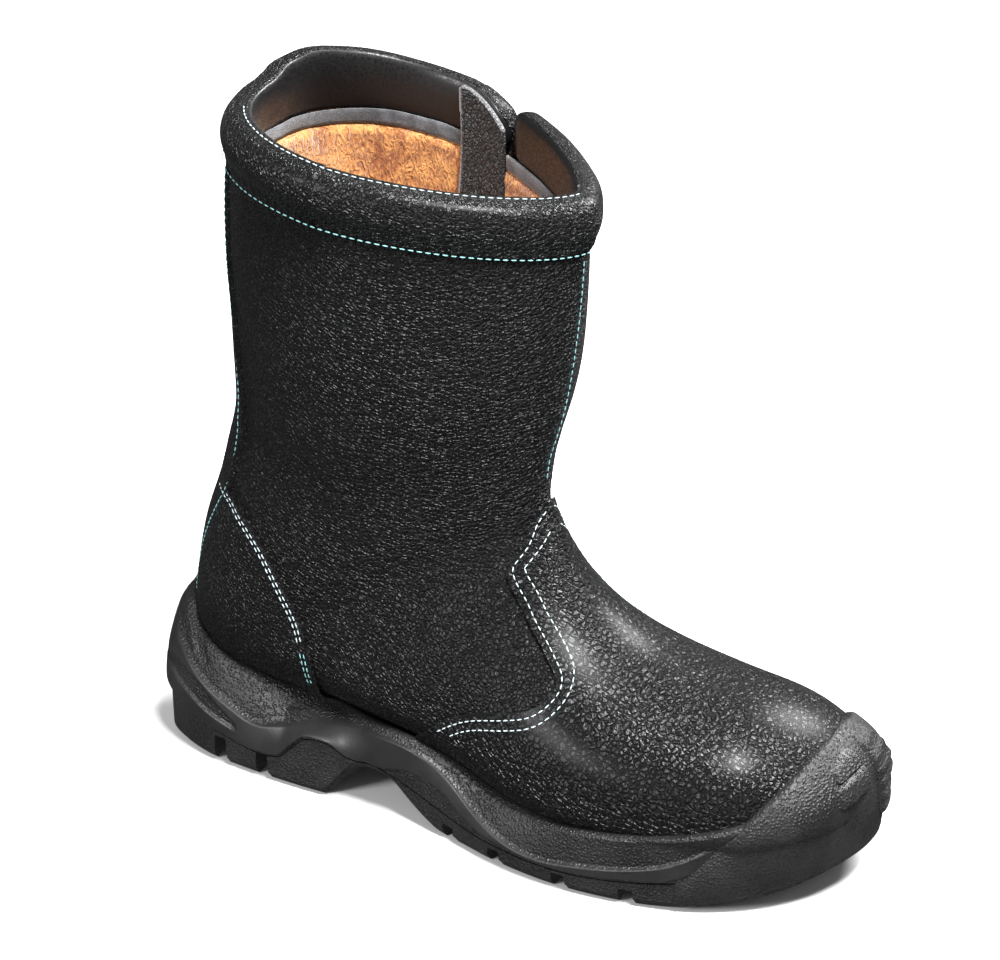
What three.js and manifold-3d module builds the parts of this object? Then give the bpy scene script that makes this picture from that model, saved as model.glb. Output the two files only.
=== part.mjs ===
// A pull-on safety boot for the right foot: a lasted leather upper with a tall shaft and a padded collar,
// on a two-layer moulded sole with a heel cup and a toe guard.
// Millimetres. X runs from heel to toe, Y from the outer to the inner side of the foot, and Z up from the floor.
// The origin is on the floor, under the middle of the heel.
import * as THREE from "three";
import { mergeVertices } from "three/addons/utils/BufferGeometryUtils.js";
import Module from "manifold-3d";

const wasm = await Module();
wasm.setup();

// Lengths of the whole boot
const soleLength = 306; // heel end to toe end
const ballWidth = 111; // sole across the ball
const heelWidth = 82; // sole across the heel
const shaftWidth = 114; // widest place of the shaft, outside
const bootHeight = 284; // floor to the top line at the back
const instepHeight = 131; // floor to the bend at the front of the ankle
const heelRest = 44; // heel end to the origin

// Sole
const heelSeat = 34; // floor to where the upper rests at the heel
const ballSeat = 19; // the same at the ball
const archRise = 17; // rise of the tread under the waist
const toeSpring = 13.5; // rise of the tread at the toe end
const treadInset = 2; // how far the tread's edge stands in from the sole's side
const treadLeast = 3.4; // least thickness of the tread at its side
const treadCorner = 3; // height over which the tread's corner leans out
const treadLean = 0.4; // how far its side still stands in above that corner
const treadDepth = 5; // depth of the grooves between the lugs
const grooveWidth = 6; // at the mouth of a groove
const lugLength = 30; // length of the side grooves
const lugInside = 0.9; // share of that length which lies inside the sole's side
const rimWall = 3; // thickness of the sole's rim against the leather
const bandRelief = 2; // how far the smooth wave stands out of the sole's side
const bandFoot = 1; // least height of the sole's side under the wave
const bandSlope = 0.8; // height over which the wave's edges rise
const guardThickness = 2.6; // how far the toe guard stands out
const guardStep = 0.6; // how much further its pads and its bar stand out
const crescentDepth = 1.2; // depth of the heel cup's recesses

// Leather, padding and what lies inside
const wall = 2.2; // upper leather
const overlay = 1.4; // vamp, counter and back strip on top of it
const gap = 0.3; // between pieces that touch
const lastingMargin = 14; // leather turned in under the foot
const insoleThickness = 5;
const collarHeight = 22;
const collarOut = 4.2; // how far the padding stands out of the shaft
const collarIn = 5.6; // how far it stands in from the leather
const collarCover = 11; // collar above the shaft's edge
const slitWidth = 3.5; // between the collar's two ends
const stripWidth = 25;
const stripThickness = 1.8;
const stripLength = 95;
const stripTop = 3; // top line to the strip's upper end
const stripHang = 4; // how much further in the strip hangs lower down, over the lining
const slitPlace = 132; // heel end to that slit, which shows the strip's front edge

// How finely the curved pieces are divided
const sideEdges = 30; // edges from the heel end to the toe end along one side of the sole
const sectionEdges = 26; // edges round the upper
const halfSteps = [1, 2, 13, 14]; // sections of the upper that a ring halfway to the next one follows
const slopeStep = 0.05; // part of a section between the rings that a ring's slope is taken from
const slabSteps = 24; // steps along the sheet under the foot
const edgeSteps = 1.4; // steps for each row of a panel's edge

// The outline of the sole seen from above, from the heel end along the outer side to the toe end and back.
// along: share of soleLength. heel and ball: shares of half of heelWidth and half of ballWidth, summed.
const outlineRows = [
  { along: 0.0, heel: 0.0, ball: 0.0 },
  { along: 0.008, heel: -0.425, ball: 0.0 },
  { along: 0.035, heel: -0.77, ball: 0.0 },
  { along: 0.1, heel: -1.0, ball: 0.0 },
  { along: 0.18, heel: -1.07, ball: 0.0 },
  { along: 0.28, heel: -1.08, ball: 0.0 },
  { along: 0.38, heel: -0.62, ball: -0.3 },
  { along: 0.48, heel: -0.2, ball: -0.67 },
  { along: 0.58, heel: 0.0, ball: -0.945 },
  { along: 0.67, heel: 0.0, ball: -0.99 },
  { along: 0.76, heel: 0.0, ball: -0.935 },
  { along: 0.85, heel: 0.0, ball: -0.795 },
  { along: 0.92, heel: 0.0, ball: -0.565 },
  { along: 0.97, heel: 0.0, ball: -0.27 },
  { along: 0.995, heel: 0.0, ball: 0.05 },
  { along: 1.0, heel: 0.0, ball: 0.245 },
  { along: 0.995, heel: 0.0, ball: 0.455 },
  { along: 0.975, heel: 0.0, ball: 0.66 },
  { along: 0.93, heel: 0.0, ball: 0.835 },
  { along: 0.87, heel: 0.0, ball: 0.94 },
  { along: 0.8, heel: 0.0, ball: 0.985 },
  { along: 0.72, heel: 0.0, ball: 0.98 },
  { along: 0.62, heel: 0.0, ball: 0.89 },
  { along: 0.5, heel: 0.25, ball: 0.565 },
  { along: 0.4, heel: 0.6, ball: 0.24 },
  { along: 0.3, heel: 0.94, ball: 0.0 },
  { along: 0.2, heel: 0.955, ball: 0.0 },
  { along: 0.12, heel: 0.94, ball: 0.0 },
  { along: 0.05, heel: 0.77, ball: 0.0 },
  { along: 0.012, heel: 0.4, ball: 0.0 },
];
const toeRow = 15;

// The tread's underside. along: share of soleLength; arch and toe: shares of archRise and toeSpring.
const treadRows = [
  { along: 0.0, arch: 0.0, toe: 0.0 },
  { along: 0.27, arch: 0.0, toe: 0.0 },
  { along: 0.303, arch: 0.0, toe: 0.0 },
  { along: 0.345, arch: 0.84, toe: 0.0 },
  { along: 0.37, arch: 1.0, toe: 0.0 },
  { along: 0.405, arch: 0.86, toe: 0.0 },
  { along: 0.44, arch: 0.4, toe: 0.0 },
  { along: 0.47, arch: 0.08, toe: 0.0 },
  { along: 0.49, arch: 0.0, toe: 0.0 },
  { along: 0.52, arch: 0.0, toe: 0.0 },
  { along: 0.78, arch: 0.0, toe: 0.0 },
  { along: 0.86, arch: 0.0, toe: 0.16 },
  { along: 0.93, arch: 0.0, toe: 0.46 },
  { along: 1.0, arch: 0.0, toe: 1.0 },
];

// Where the upper rests on the sole. along: share of soleLength; heel and ball: shares of heelSeat and ballSeat.
const seatRows = [
  { along: 0.0, heel: 1.0, ball: 0.0 },
  { along: 0.3, heel: 0.98, ball: 0.0 },
  { along: 0.46, heel: 0.56, ball: 0.48 },
  { along: 0.62, heel: 0.0, ball: 1.03 },
  { along: 0.78, heel: 0.0, ball: 1.08 },
  { along: 0.9, heel: 0.0, ball: 1.35 },
  { along: 1.0, heel: 0.0, ball: 1.75 },
];

// The sole's side, the same inside and outside. around: share of the way from the heel end to the toe end.
// split: height of the line between tread and midsole; low and high: the edges of the smooth wave; rim: the
// top edge. All four are shares of heelSeat. relief: share of bandRelief.
const sideRows = [
  { around: 0.0, split: 0.76, low: 0.8, high: 1.72, rim: 1.87, relief: 1 },
  { around: 0.06, split: 0.73, low: 0.77, high: 1.56, rim: 1.74, relief: 1 },
  { around: 0.12, split: 0.58, low: 0.62, high: 1.24, rim: 1.48, relief: 1 },
  { around: 0.16, split: 0.47, low: 0.51, high: 1.02, rim: 1.34, relief: 1 },
  { around: 0.2, split: 0.38, low: 0.42, high: 0.84, rim: 1.23, relief: 1 },
  { around: 0.235, split: 0.32, low: 0.36, high: 0.72, rim: 1.15, relief: 1 },
  { around: 0.27, split: 0.37, low: 0.41, high: 0.78, rim: 1.06, relief: 1 },
  { around: 0.288, split: 0.56, low: 0.6, high: 0.84, rim: 1.02, relief: 1 },
  { around: 0.305, split: 0.71, low: 0.75, high: 0.92, rim: 1.0, relief: 1 },
  { around: 0.335, split: 0.71, low: 0.75, high: 0.95, rim: 1.01, relief: 1 },
  { around: 0.355, split: 0.6, low: 0.64, high: 0.99, rim: 1.04, relief: 1 },
  { around: 0.4, split: 0.56, low: 0.61, high: 1.04, rim: 1.09, relief: 1 },
  { around: 0.44, split: 0.46, low: 0.7, high: 1.02, rim: 1.07, relief: 1 },
  { around: 0.48, split: 0.34, low: 0.62, high: 0.86, rim: 0.94, relief: 1 },
  { around: 0.525, split: 0.27, low: 0.4, high: 0.6, rim: 0.8, relief: 1 },
  { around: 0.577, split: 0.24, low: 0.3, high: 0.4, rim: 0.73, relief: 1 },
  { around: 0.62, split: 0.23, low: 0.26, high: 0.35, rim: 0.73, relief: 0.8 },
  { around: 0.66, split: 0.24, low: 0.27, high: 0.4, rim: 0.77, relief: 0.8 },
  { around: 0.71, split: 0.28, low: 0.32, high: 0.48, rim: 0.84, relief: 0.8 },
  { around: 0.76, split: 0.35, low: 0.39, high: 0.62, rim: 0.94, relief: 0.8 },
  { around: 0.8, split: 0.43, low: 0.6, high: 0.83, rim: 1.05, relief: 0.5 },
  { around: 0.84, split: 0.5, low: 0.88, high: 1.06, rim: 1.17, relief: 0.1 },
  { around: 0.9, split: 0.56, low: 1.08, high: 1.22, rim: 1.3, relief: 0.0 },
  { around: 1.0, split: 0.7, low: 1.2, high: 1.32, rim: 1.38, relief: 0.0 },
];

// The toe guard, outside and inside. top: its upper edge as a share of heelSeat; out: share of guardThickness.
const guardRows = [
  { around: 0.77, top: 0.44, out: 0.2 },
  { around: 0.79, top: 0.64, out: 0.7 },
  { around: 0.812, top: 0.88, out: 1 },
  { around: 0.842, top: 1.2, out: 1 },
  { around: 0.872, top: 1.44, out: 1 },
  { around: 0.905, top: 1.6, out: 0.9 },
  { around: 0.95, top: 1.69, out: 0.7 },
  { around: 1.0, top: 1.71, out: 0.6 },
];

// The guard's section. up: share of the way to its upper edge; out: share of what its own row gives.
const guardSectionRows = [
  { up: 0.0, out: -0.2 },
  { up: 0.3, out: 0.7 },
  { up: 0.55, out: 1.0 },
  { up: 0.8, out: 0.8 },
  { up: 1.0, out: 0.2 },
];

// Sections across the upper, from the toe to the top line. Each is an oval in the plane that holds its front
// point, its back point and the Y direction. frontX and backX: shares of soleLength. frontZ and backZ: levels,
// 0 at the floor, 1 at the instep and 2 at the top line. seat: 1 where the back point lies on the sole.
const upperRows = [
  { frontX: 0.976, frontZ: 0.3, backX: 0.976, backZ: 0, seat: 1 },
  { frontX: 0.971, frontZ: 0.35, backX: 0.972, backZ: 0, seat: 1 },
  { frontX: 0.952, frontZ: 0.41, backX: 0.96, backZ: 0, seat: 1 },
  { frontX: 0.914, frontZ: 0.47, backX: 0.932, backZ: 0, seat: 1 },
  { frontX: 0.862, frontZ: 0.515, backX: 0.885, backZ: 0, seat: 1 },
  { frontX: 0.782, frontZ: 0.55, backX: 0.8, backZ: 0, seat: 1 },
  { frontX: 0.7, frontZ: 0.605, backX: 0.7, backZ: 0, seat: 1 },
  { frontX: 0.64, frontZ: 0.69, backX: 0.59, backZ: 0, seat: 1 },
  { frontX: 0.6, frontZ: 0.79, backX: 0.48, backZ: 0, seat: 1 },
  { frontX: 0.576, frontZ: 0.876, backX: 0.36, backZ: 0, seat: 1 },
  { frontX: 0.563, frontZ: 0.945, backX: 0.24, backZ: 0, seat: 1 },
  { frontX: 0.559, frontZ: 0.99, backX: 0.14, backZ: 0, seat: 1 },
  { frontX: 0.559, frontZ: 1.02, backX: 0.07, backZ: 0.01, seat: 1 },
  { frontX: 0.5605, frontZ: 1.05, backX: 0.042, backZ: 0.13, seat: 1 },
  { frontX: 0.563, frontZ: 1.085, backX: 0.047, backZ: 0.435, seat: 0.5 },
  { frontX: 0.567, frontZ: 1.13, backX: 0.065, backZ: 0.74, seat: 0 },
  { frontX: 0.575, frontZ: 1.18, backX: 0.094, backZ: 0.916, seat: 0 },
  { frontX: 0.588, frontZ: 1.27, backX: 0.127, backZ: 1.137, seat: 0 },
  { frontX: 0.599, frontZ: 1.385, backX: 0.138, backZ: 1.353, seat: 0 },
  { frontX: 0.61, frontZ: 1.52, backX: 0.142, backZ: 1.595, seat: 0 },
  { frontX: 0.62, frontZ: 1.66, backX: 0.154, backZ: 1.81, seat: 0 },
  { frontX: 0.628, frontZ: 1.85, backX: 0.173, backZ: 2.0, seat: 0 },
];

// The same sections' ovals. heel, ball and shaft: shares of half of each width, summed. shift: how far the oval
// lies to the inner side, and ridge: how far its front does so besides, both as shares of ballWidth.
// widest: where the oval is widest, as a share of the way from front to back.
// front and back: roundness of each end, 2 for a true oval, less for pointed and more for square.
const ovalRows = [
  { heel: 0, ball: 0.1, shaft: 0, shift: 0.11, ridge: 0, widest: 0.5, front: 2.0, back: 2.0 },
  { heel: 0, ball: 0.3, shaft: 0, shift: 0.1, ridge: 0, widest: 0.56, front: 2.0, back: 2.3 },
  { heel: 0, ball: 0.47, shaft: 0, shift: 0.088, ridge: 0, widest: 0.6, front: 2.0, back: 2.6 },
  { heel: 0, ball: 0.62, shaft: 0, shift: 0.068, ridge: 0, widest: 0.64, front: 2.05, back: 2.8 },
  { heel: 0, ball: 0.755, shaft: 0, shift: 0.036, ridge: 0.005, widest: 0.66, front: 2.1, back: 2.9 },
  { heel: 0, ball: 0.85, shaft: 0, shift: 0.01, ridge: 0.015, widest: 0.68, front: 2.0, back: 3 },
  { heel: 0, ball: 0.885, shaft: 0, shift: -0.01, ridge: 0.025, widest: 0.7, front: 1.9, back: 3 },
  { heel: 0, ball: 0.83, shaft: 0, shift: -0.022, ridge: 0.03, widest: 0.7, front: 1.8, back: 3 },
  { heel: 0.34, ball: 0.47, shaft: 0, shift: -0.022, ridge: 0.03, widest: 0.69, front: 1.8, back: 3 },
  { heel: 0.88, ball: 0.06, shaft: 0, shift: -0.02, ridge: 0.03, widest: 0.67, front: 1.8, back: 3 },
  { heel: 0.91, ball: 0, shaft: 0, shift: -0.018, ridge: 0.03, widest: 0.64, front: 1.85, back: 2.9 },
  { heel: 0.91, ball: 0, shaft: 0, shift: -0.018, ridge: 0.025, widest: 0.6, front: 1.85, back: 2.6 },
  { heel: 0.89, ball: 0, shaft: 0.02, shift: -0.017, ridge: 0.02, widest: 0.56, front: 1.85, back: 2.35 },
  { heel: 0.8, ball: 0, shaft: 0.12, shift: -0.015, ridge: 0.015, widest: 0.54, front: 1.85, back: 2.2 },
  { heel: 0.52, ball: 0, shaft: 0.34, shift: -0.012, ridge: 0.01, widest: 0.53, front: 1.85, back: 2.1 },
  { heel: 0.24, ball: 0, shaft: 0.56, shift: -0.009, ridge: 0.005, widest: 0.52, front: 1.85, back: 2.1 },
  { heel: 0, ball: 0, shaft: 0.755, shift: -0.006, ridge: 0, widest: 0.52, front: 1.85, back: 2.1 },
  { heel: 0, ball: 0, shaft: 0.84, shift: -0.003, ridge: 0, widest: 0.53, front: 1.8, back: 2.15 },
  { heel: 0, ball: 0, shaft: 0.91, shift: 0, ridge: 0, widest: 0.54, front: 1.8, back: 2.2 },
  { heel: 0, ball: 0, shaft: 0.96, shift: -0.01, ridge: 0, widest: 0.55, front: 1.7, back: 2.25 },
  { heel: 0, ball: 0, shaft: 0.99, shift: -0.02, ridge: -0.01, widest: 0.56, front: 1.6, back: 2.3 },
  { heel: 0, ball: 0, shaft: 1.0, shift: -0.028, ridge: -0.02, widest: 0.57, front: 1.5, back: 2.35 },
];
const topSection = upperRows.length - 1;

// The collar's roll, round the shaft's edge from outside over the top to the inside.
// out: share of collarOut, or of collarIn where negative; down: share of collarHeight below the top line.
const collarRows = [
  { out: 0.1, down: 1.0 },
  { out: 0.3, down: 0.92 },
  { out: 0.72, down: 0.72 },
  { out: 1.0, down: 0.42 },
  { out: 0.86, down: 0.14 },
  { out: 0.3, down: 0.01 },
  { out: -0.65, down: 0.0 },
  { out: -0.95, down: 0.09 },
  { out: -1.0, down: 0.5 },
  { out: -0.85, down: 0.9 },
  { out: -0.2, down: 1.0 },
];

// The vamp's edge on the shaft, seen from the side, from the instep down to the sole.
// x: share of soleLength; z: share of instepHeight.
const vampEdgeRows = [
  { x: 0.64, z: 1.12 },
  { x: 0.572, z: 1.03 },
  { x: 0.555, z: 0.97 },
  { x: 0.551, z: 0.905 },
  { x: 0.541, z: 0.85 },
  { x: 0.547, z: 0.81 },
  { x: 0.566, z: 0.753 },
  { x: 0.584, z: 0.7 },
  { x: 0.616, z: 0.626 },
  { x: 0.635, z: 0.58 },
  { x: 0.634, z: 0.545 },
  { x: 0.615, z: 0.503 },
  { x: 0.58, z: 0.474 },
  { x: 0.534, z: 0.44 },
  { x: 0.502, z: 0.402 },
  { x: 0.462, z: 0.33 },
  { x: 0.43, z: 0.24 },
  { x: 0.42, z: 0.0 },
];

// The counter's edge on the shaft, seen the same way, from the back strip down to the sole
const counterEdgeRows = [
  { x: 0.02, z: 0.95 },
  { x: 0.143, z: 0.915 },
  { x: 0.179, z: 0.876 },
  { x: 0.216, z: 0.805 },
  { x: 0.243, z: 0.714 },
  { x: 0.26, z: 0.634 },
  { x: 0.275, z: 0.53 },
  { x: 0.283, z: 0.4 },
  { x: 0.285, z: 0.28 },
  { x: 0.285, z: 0.0 },
];

// The back strip, seen from behind. level: height as in the upper's sections; half: half its width as a share
// of shaftWidth.
const backStripRows = [
  { level: 0.0, half: 0.12 },
  { level: 0.45, half: 0.155 },
  { level: 0.57, half: 0.19 },
  { level: 0.7, half: 0.225 },
  { level: 0.87, half: 0.27 },
  { level: 1.15, half: 0.31 },
  { level: 1.6, half: 0.33 },
  { level: 2.1, half: 0.33 },
];

// The raw-edged strip behind the collar's slit. down: share of stripLength; in: share of stripHang.
const stripRows = [
  { down: 0.0, in: 0.0 },
  { down: 0.28, in: 0.1 },
  { down: 0.5, in: 0.7 },
  { down: 0.75, in: 1.0 },
  { down: 1.0, in: 1.0 },
];

// Grooves between the lugs, from the tread's edge inwards, alike on both sides. along: share of soleLength at
// the edge; turn: degrees off the Y direction.
const grooveRows = [
  { along: 0.045, turn: 55 },
  { along: 0.13, turn: 12 },
  { along: 0.205, turn: 4 },
  { along: 0.515, turn: -20 },
  { along: 0.59, turn: -14 },
  { along: 0.682, turn: -4 },
  { along: 0.765, turn: 6 },
  { along: 0.832, turn: 18 },
  { along: 0.9, turn: 34 },
];

// Channels along the tread that end the side lugs. from and to: shares of soleLength; fromY and toY: shares of
// ballWidth.
const channelRows = [
  { from: 0.06, fromY: -0.13, to: 0.26, toY: -0.17 },
  { from: 0.06, fromY: 0.13, to: 0.26, toY: 0.16 },
  { from: 0.5, fromY: -0.17, to: 0.87, toY: -0.2 },
  { from: 0.5, fromY: 0.14, to: 0.87, toY: 0.23 },
];

// Steps on the toe guard: two pads on the outer side of the toe end, and a bar on its inner side. around: as in
// the guard's table; low and high: shares of heelSeat.
const upperPadRows = [
  { around: 0.945, low: 1.45, high: 1.55 },
  { around: 0.965, low: 1.46, high: 1.6 },
  { around: 0.995, low: 1.47, high: 1.62 },
];
const lowerPadRows = [
  { around: 0.94, low: 1.2, high: 1.41 },
  { around: 0.965, low: 1.21, high: 1.42 },
  { around: 0.995, low: 1.22, high: 1.43 },
];
const toeBarRows = [
  { around: 0.985, low: 0.75, high: 1.66 },
  { around: 0.96, low: 0.75, high: 1.65 },
  { around: 0.935, low: 0.75, high: 1.62 },
];

// Recesses in the heel cup, alike on both sides, with the same columns
const upperCrescentRows = [
  { around: 0.092, low: 1.58, high: 1.66 },
  { around: 0.115, low: 1.44, high: 1.58 },
  { around: 0.135, low: 1.24, high: 1.44 },
  { around: 0.155, low: 1.14, high: 1.22 },
];
const lowerCrescentRows = [
  { around: 0.07, low: 1.0, high: 1.08 },
  { around: 0.108, low: 0.92, high: 1.09 },
  { around: 0.144, low: 0.78, high: 1.0 },
  { around: 0.175, low: 0.66, high: 0.84 },
  { around: 0.21, low: 0.56, high: 0.62 },
];

// A smooth curve through a table's rows, read at a value of its key column
function rowAt(rows, key, at) {
  const last = rows.length - 1;
  let i = 0;
  while (i < last - 1 && at > rows[i + 1][key]) i++;
  const before = rows[Math.max(i - 1, 0)];
  const from = rows[i];
  const to = rows[i + 1];
  const after = rows[Math.min(i + 2, last)];
  const span = to[key] - from[key];
  const t = (at - from[key]) / span;
  const row = {};
  for (const name of Object.keys(from)) {
    const rise = to[name] - from[name];
    const slopeFrom = ((to[name] - before[name]) / (to[key] - before[key])) * span;
    const slopeTo = ((after[name] - from[name]) / (after[key] - from[key])) * span;
    const bend = 3 * rise - 2 * slopeFrom - slopeTo + t * (slopeFrom + slopeTo - 2 * rise);
    row[name] = from[name] + t * (slopeFrom + t * bend);
  }
  return row;
}

upperRows.forEach((row, section) => Object.assign(row, ovalRows[section], { section }));

const seatZ = (x) => {
  const row = rowAt(seatRows, "along", THREE.MathUtils.clamp(x / soleLength, 0, 1));
  return row.heel * heelSeat + row.ball * ballSeat;
};
const treadZ = (x) => {
  const row = rowAt(treadRows, "along", THREE.MathUtils.clamp(x / soleLength, 0, 1));
  return Math.max(0, row.arch * archRise + row.toe * toeSpring);
};
const levelZ = (level) =>
  level < 1 ? level * instepHeight : instepHeight + (level - 1) * (bootHeight - instepHeight);

// A mesh's geometry as a solid that can be joined and cut, and back
function solidOf(positions, index) {
  const geometry = new THREE.BufferGeometry();
  geometry.setAttribute("position", new THREE.BufferAttribute(new Float32Array(positions), 3));
  geometry.setIndex(index);
  return solidOfGeometry(geometry);
}

function solidOfGeometry(geometry) {
  const bare = geometry.clone();
  bare.deleteAttribute("normal");
  bare.deleteAttribute("uv");
  const merged = mergeVertices(bare, 1e-4);
  return new wasm.Manifold(
    new wasm.Mesh({
      numProp: 3,
      vertProperties: new Float32Array(merged.attributes.position.array),
      triVerts: new Uint32Array(merged.index.array),
    }),
  );
}

function geometryOf(solid) {
  const mesh = solid.getMesh();
  const geometry = new THREE.BufferGeometry();
  geometry.setAttribute("position", new THREE.BufferAttribute(new Float32Array(mesh.vertProperties), 3));
  geometry.setIndex(new THREE.BufferAttribute(new Uint32Array(mesh.triVerts), 1));
  geometry.computeVertexNormals();
  return geometry;
}

// A solid through rings of points that all start at the same end of the boot and run the same way round.
// Its two ends are closed by strips from side to side, or, as a closed loop of rings, it has no ends.
function loft(rings, closed = false) {
  const n = rings[0].length;
  const positions = rings.flat().flatMap((point) => [point.x, point.y, point.z]);
  const index = [];
  const quad = (a, b, c, d) => index.push(a, b, c, a, c, d);
  for (let r = 0; r < rings.length - (closed ? 0 : 1); r++) {
    const next = ((r + 1) % rings.length) * n;
    for (let i = 0; i < n; i++) {
      const j = (i + 1) % n;
      quad(r * n + i, r * n + j, next + j, next + i);
    }
  }
  const cap = (start, flip) => {
    for (let i = 0; i < n / 2; i++) {
      const [a, b, c, d] = [i, i + 1, n - i - 1, (n - i) % n].map((k) => start + k);
      const faces = [];
      if (a !== d) faces.push([a, d, c]);
      if (b !== c) faces.push([a, c, b]);
      for (const face of faces) index.push(...(flip ? face.reverse() : face));
    }
  };
  if (!closed) {
    cap(0, false);
    cap((rings.length - 1) * n, true);
  }
  const solid = solidOf(positions, index);
  if (solid.volume() > 0) return solid;
  for (let i = 0; i < index.length; i += 3) [index[i], index[i + 1]] = [index[i + 1], index[i]];
  return solidOf(positions, index);
}

// The slab between two heights that change along the boot
function slab(bottom, top) {
  const reach = ballWidth;
  const rings = [];
  for (let i = -1; i <= slabSteps + 1; i++) {
    const x = (i / slabSteps) * soleLength;
    rings.push([
      new THREE.Vector3(x, 0, bottom(x)),
      new THREE.Vector3(x, -reach, bottom(x)),
      new THREE.Vector3(x, -reach, top(x)),
      new THREE.Vector3(x, 0, top(x)),
      new THREE.Vector3(x, reach, top(x)),
      new THREE.Vector3(x, reach, bottom(x)),
    ]);
  }
  return loft(rings);
}

// Upper: one oval, with its points from the front round the outer side to the back and on
function oval(section) {
  const row = rowAt(upperRows, "section", section);
  const backX = row.backX * soleLength;
  const front = new THREE.Vector3(row.frontX * soleLength, 0, levelZ(row.frontZ));
  const back = new THREE.Vector3(backX, 0, levelZ(row.backZ) + row.seat * seatZ(backX));
  const half = (row.heel * heelWidth + row.ball * ballWidth + row.shaft * shaftWidth) / 2;
  const points = [];
  for (let i = 0; i < sectionEdges; i++) {
    const angle = (i / sectionEdges) * 2 * Math.PI;
    const [c, s] = [Math.cos(angle), Math.sin(angle)];
    const round = 2 / (c >= 0 ? row.front : row.back);
    const reach = Math.abs(c) ** round;
    const share = row.widest + reach * (c >= 0 ? -row.widest : 1 - row.widest);
    const side = -Math.sign(s) * Math.abs(s) ** round * half;
    const point = front.clone().lerp(back, share);
    point.y = side + (row.shift + row.ridge * (1 - share) ** 2) * ballWidth;
    points.push(point);
  }
  return points;
}

// The same ring grown outwards, square to the surface
function upperRing(section, grow) {
  const here = oval(section);
  const behind = oval(Math.max(section - slopeStep, 0));
  const ahead = oval(Math.min(section + slopeStep, topSection));
  return here.map((point, i) => {
    const before = here[(i + sectionEdges - 1) % sectionEdges];
    const after = here[(i + 1) % sectionEdges];
    const around = after.clone().sub(before);
    const along = ahead[i].clone().sub(behind[i]);
    return point.clone().addScaledVector(around.cross(along).normalize(), -grow);
  });
}

const sectionHeight = (bootHeight - instepHeight) * (upperRows[topSection].backZ - upperRows[topSection - 1].backZ);
const sectionBelowTop = (down) => topSection - down / sectionHeight;
const shaftTop = sectionBelowTop(collarCover);
const upperSections = [];
for (let i = 0; i < topSection; i++) {
  upperSections.push(i);
  if (halfSteps.includes(i)) upperSections.push(i + 0.5);
}

// The upper's form, grown or shrunk, up to a section and by so much more straight up
function upperForm(grow, top = shaftTop, rise = 0) {
  const sections = upperSections.filter((section) => section < top - slopeStep);
  const rings = [...sections, top].map((section) => upperRing(section, grow));
  if (rise > 0) rings.push(rings.at(-1).map((point) => point.clone().setZ(point.z + rise)));
  return loft(rings);
}

// Sole: its outline, read by side and by share of the way from the heel end to the toe end
const outlineCurve = new THREE.CatmullRomCurve3(
  outlineRows.map(
    (row) =>
      new THREE.Vector3(row.along * soleLength, (row.heel * heelWidth + row.ball * ballWidth) / 2, 0),
  ),
  true,
  "centripetal",
);
const outlineSteps = 600;
const outlineFine = outlineCurve.getPoints(outlineSteps);
const toeStep = Math.round((toeRow / outlineRows.length) * outlineSteps);

function sideOf(points) {
  const lengths = [0];
  for (let i = 1; i < points.length; i++) lengths.push(lengths[i - 1] + points[i].distanceTo(points[i - 1]));
  return { points, lengths };
}
const outerSide = sideOf(outlineFine.slice(0, toeStep + 1));
const innerSide = sideOf(outlineFine.slice(toeStep).reverse());

function outlineAt(side, around) {
  const { points, lengths } = side;
  const target = around * lengths.at(-1);
  let i = 1;
  while (i < lengths.length - 1 && lengths[i] < target) i++;
  const t = (target - lengths[i - 1]) / (lengths[i] - lengths[i - 1]);
  const point = points[i - 1].clone().lerp(points[i], t);
  const ahead = points[Math.min(i + 2, points.length - 1)];
  const behind = points[Math.max(i - 3, 0)];
  const tangent = ahead.clone().sub(behind).normalize();
  const outward = new THREE.Vector3(tangent.y, -tangent.x, 0);
  if (side === innerSide) outward.negate();
  if (around === 0) outward.set(-1, 0, 0);
  if (around === 1) outward.set(1, 0, 0);
  return { point, outward, around };
}

// The places round the whole outline, or round the part of it in front of a share
function placesRound(from = 0) {
  const shares = [];
  for (let i = 0; i <= sideEdges; i++) shares.push(i / sideEdges);
  const used = from > 0 ? [from, ...shares.filter((share) => share > from + 0.005)] : shares;
  const outer = used.map((share) => outlineAt(outerSide, share));
  const inner = used.map((share) => outlineAt(innerSide, share)).reverse();
  return [...outer, ...inner.slice(1, from > 0 ? undefined : -1)];
}

const at = (place, offset, z) => place.point.clone().addScaledVector(place.outward, offset).setZ(z);

// How far the leather lies in from the outline at a height, or null where it doesn't reach
const leather = new THREE.Mesh(geometryOf(upperForm(overlay + 2 * gap, topSection)));
leather.material.side = THREE.DoubleSide;
const ray = new THREE.Raycaster();
function leatherIn(place, z) {
  const start = 30;
  ray.set(at(place, start, z), place.outward.clone().negate());
  const hit = ray.intersectObject(leather)[0];
  return hit ? hit.distance - start : null;
}

// Where the sole's side stands at a height, relative to the outline, without the wave
function sideOut(place, z) {
  const row = rowAt(sideRows, "around", place.around);
  const rimZ = row.rim * heelSeat;
  const lowZ = row.split * heelSeat;
  const rimIn = leatherIn(place, rimZ);
  const rimOut = rimIn === null ? -rimWall : rimWall - rimIn;
  const t = THREE.MathUtils.clamp((z - lowZ) / (rimZ - lowZ), 0, 1);
  const leaning = Math.min(rimOut, 0) * t * t;
  const hereIn = leatherIn(place, z);
  if (hereIn === null) return leaning;
  const lip = (rimWall * rimZ) / Math.max(z, rimZ);
  return z > rimZ ? lip - hereIn : Math.max(leaning, rimWall - hereIn);
}

// The height of the line between tread and midsole
const splitZ = (place, row) => Math.max(row.split * heelSeat, treadZ(place.point.x) + treadLeast);

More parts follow.
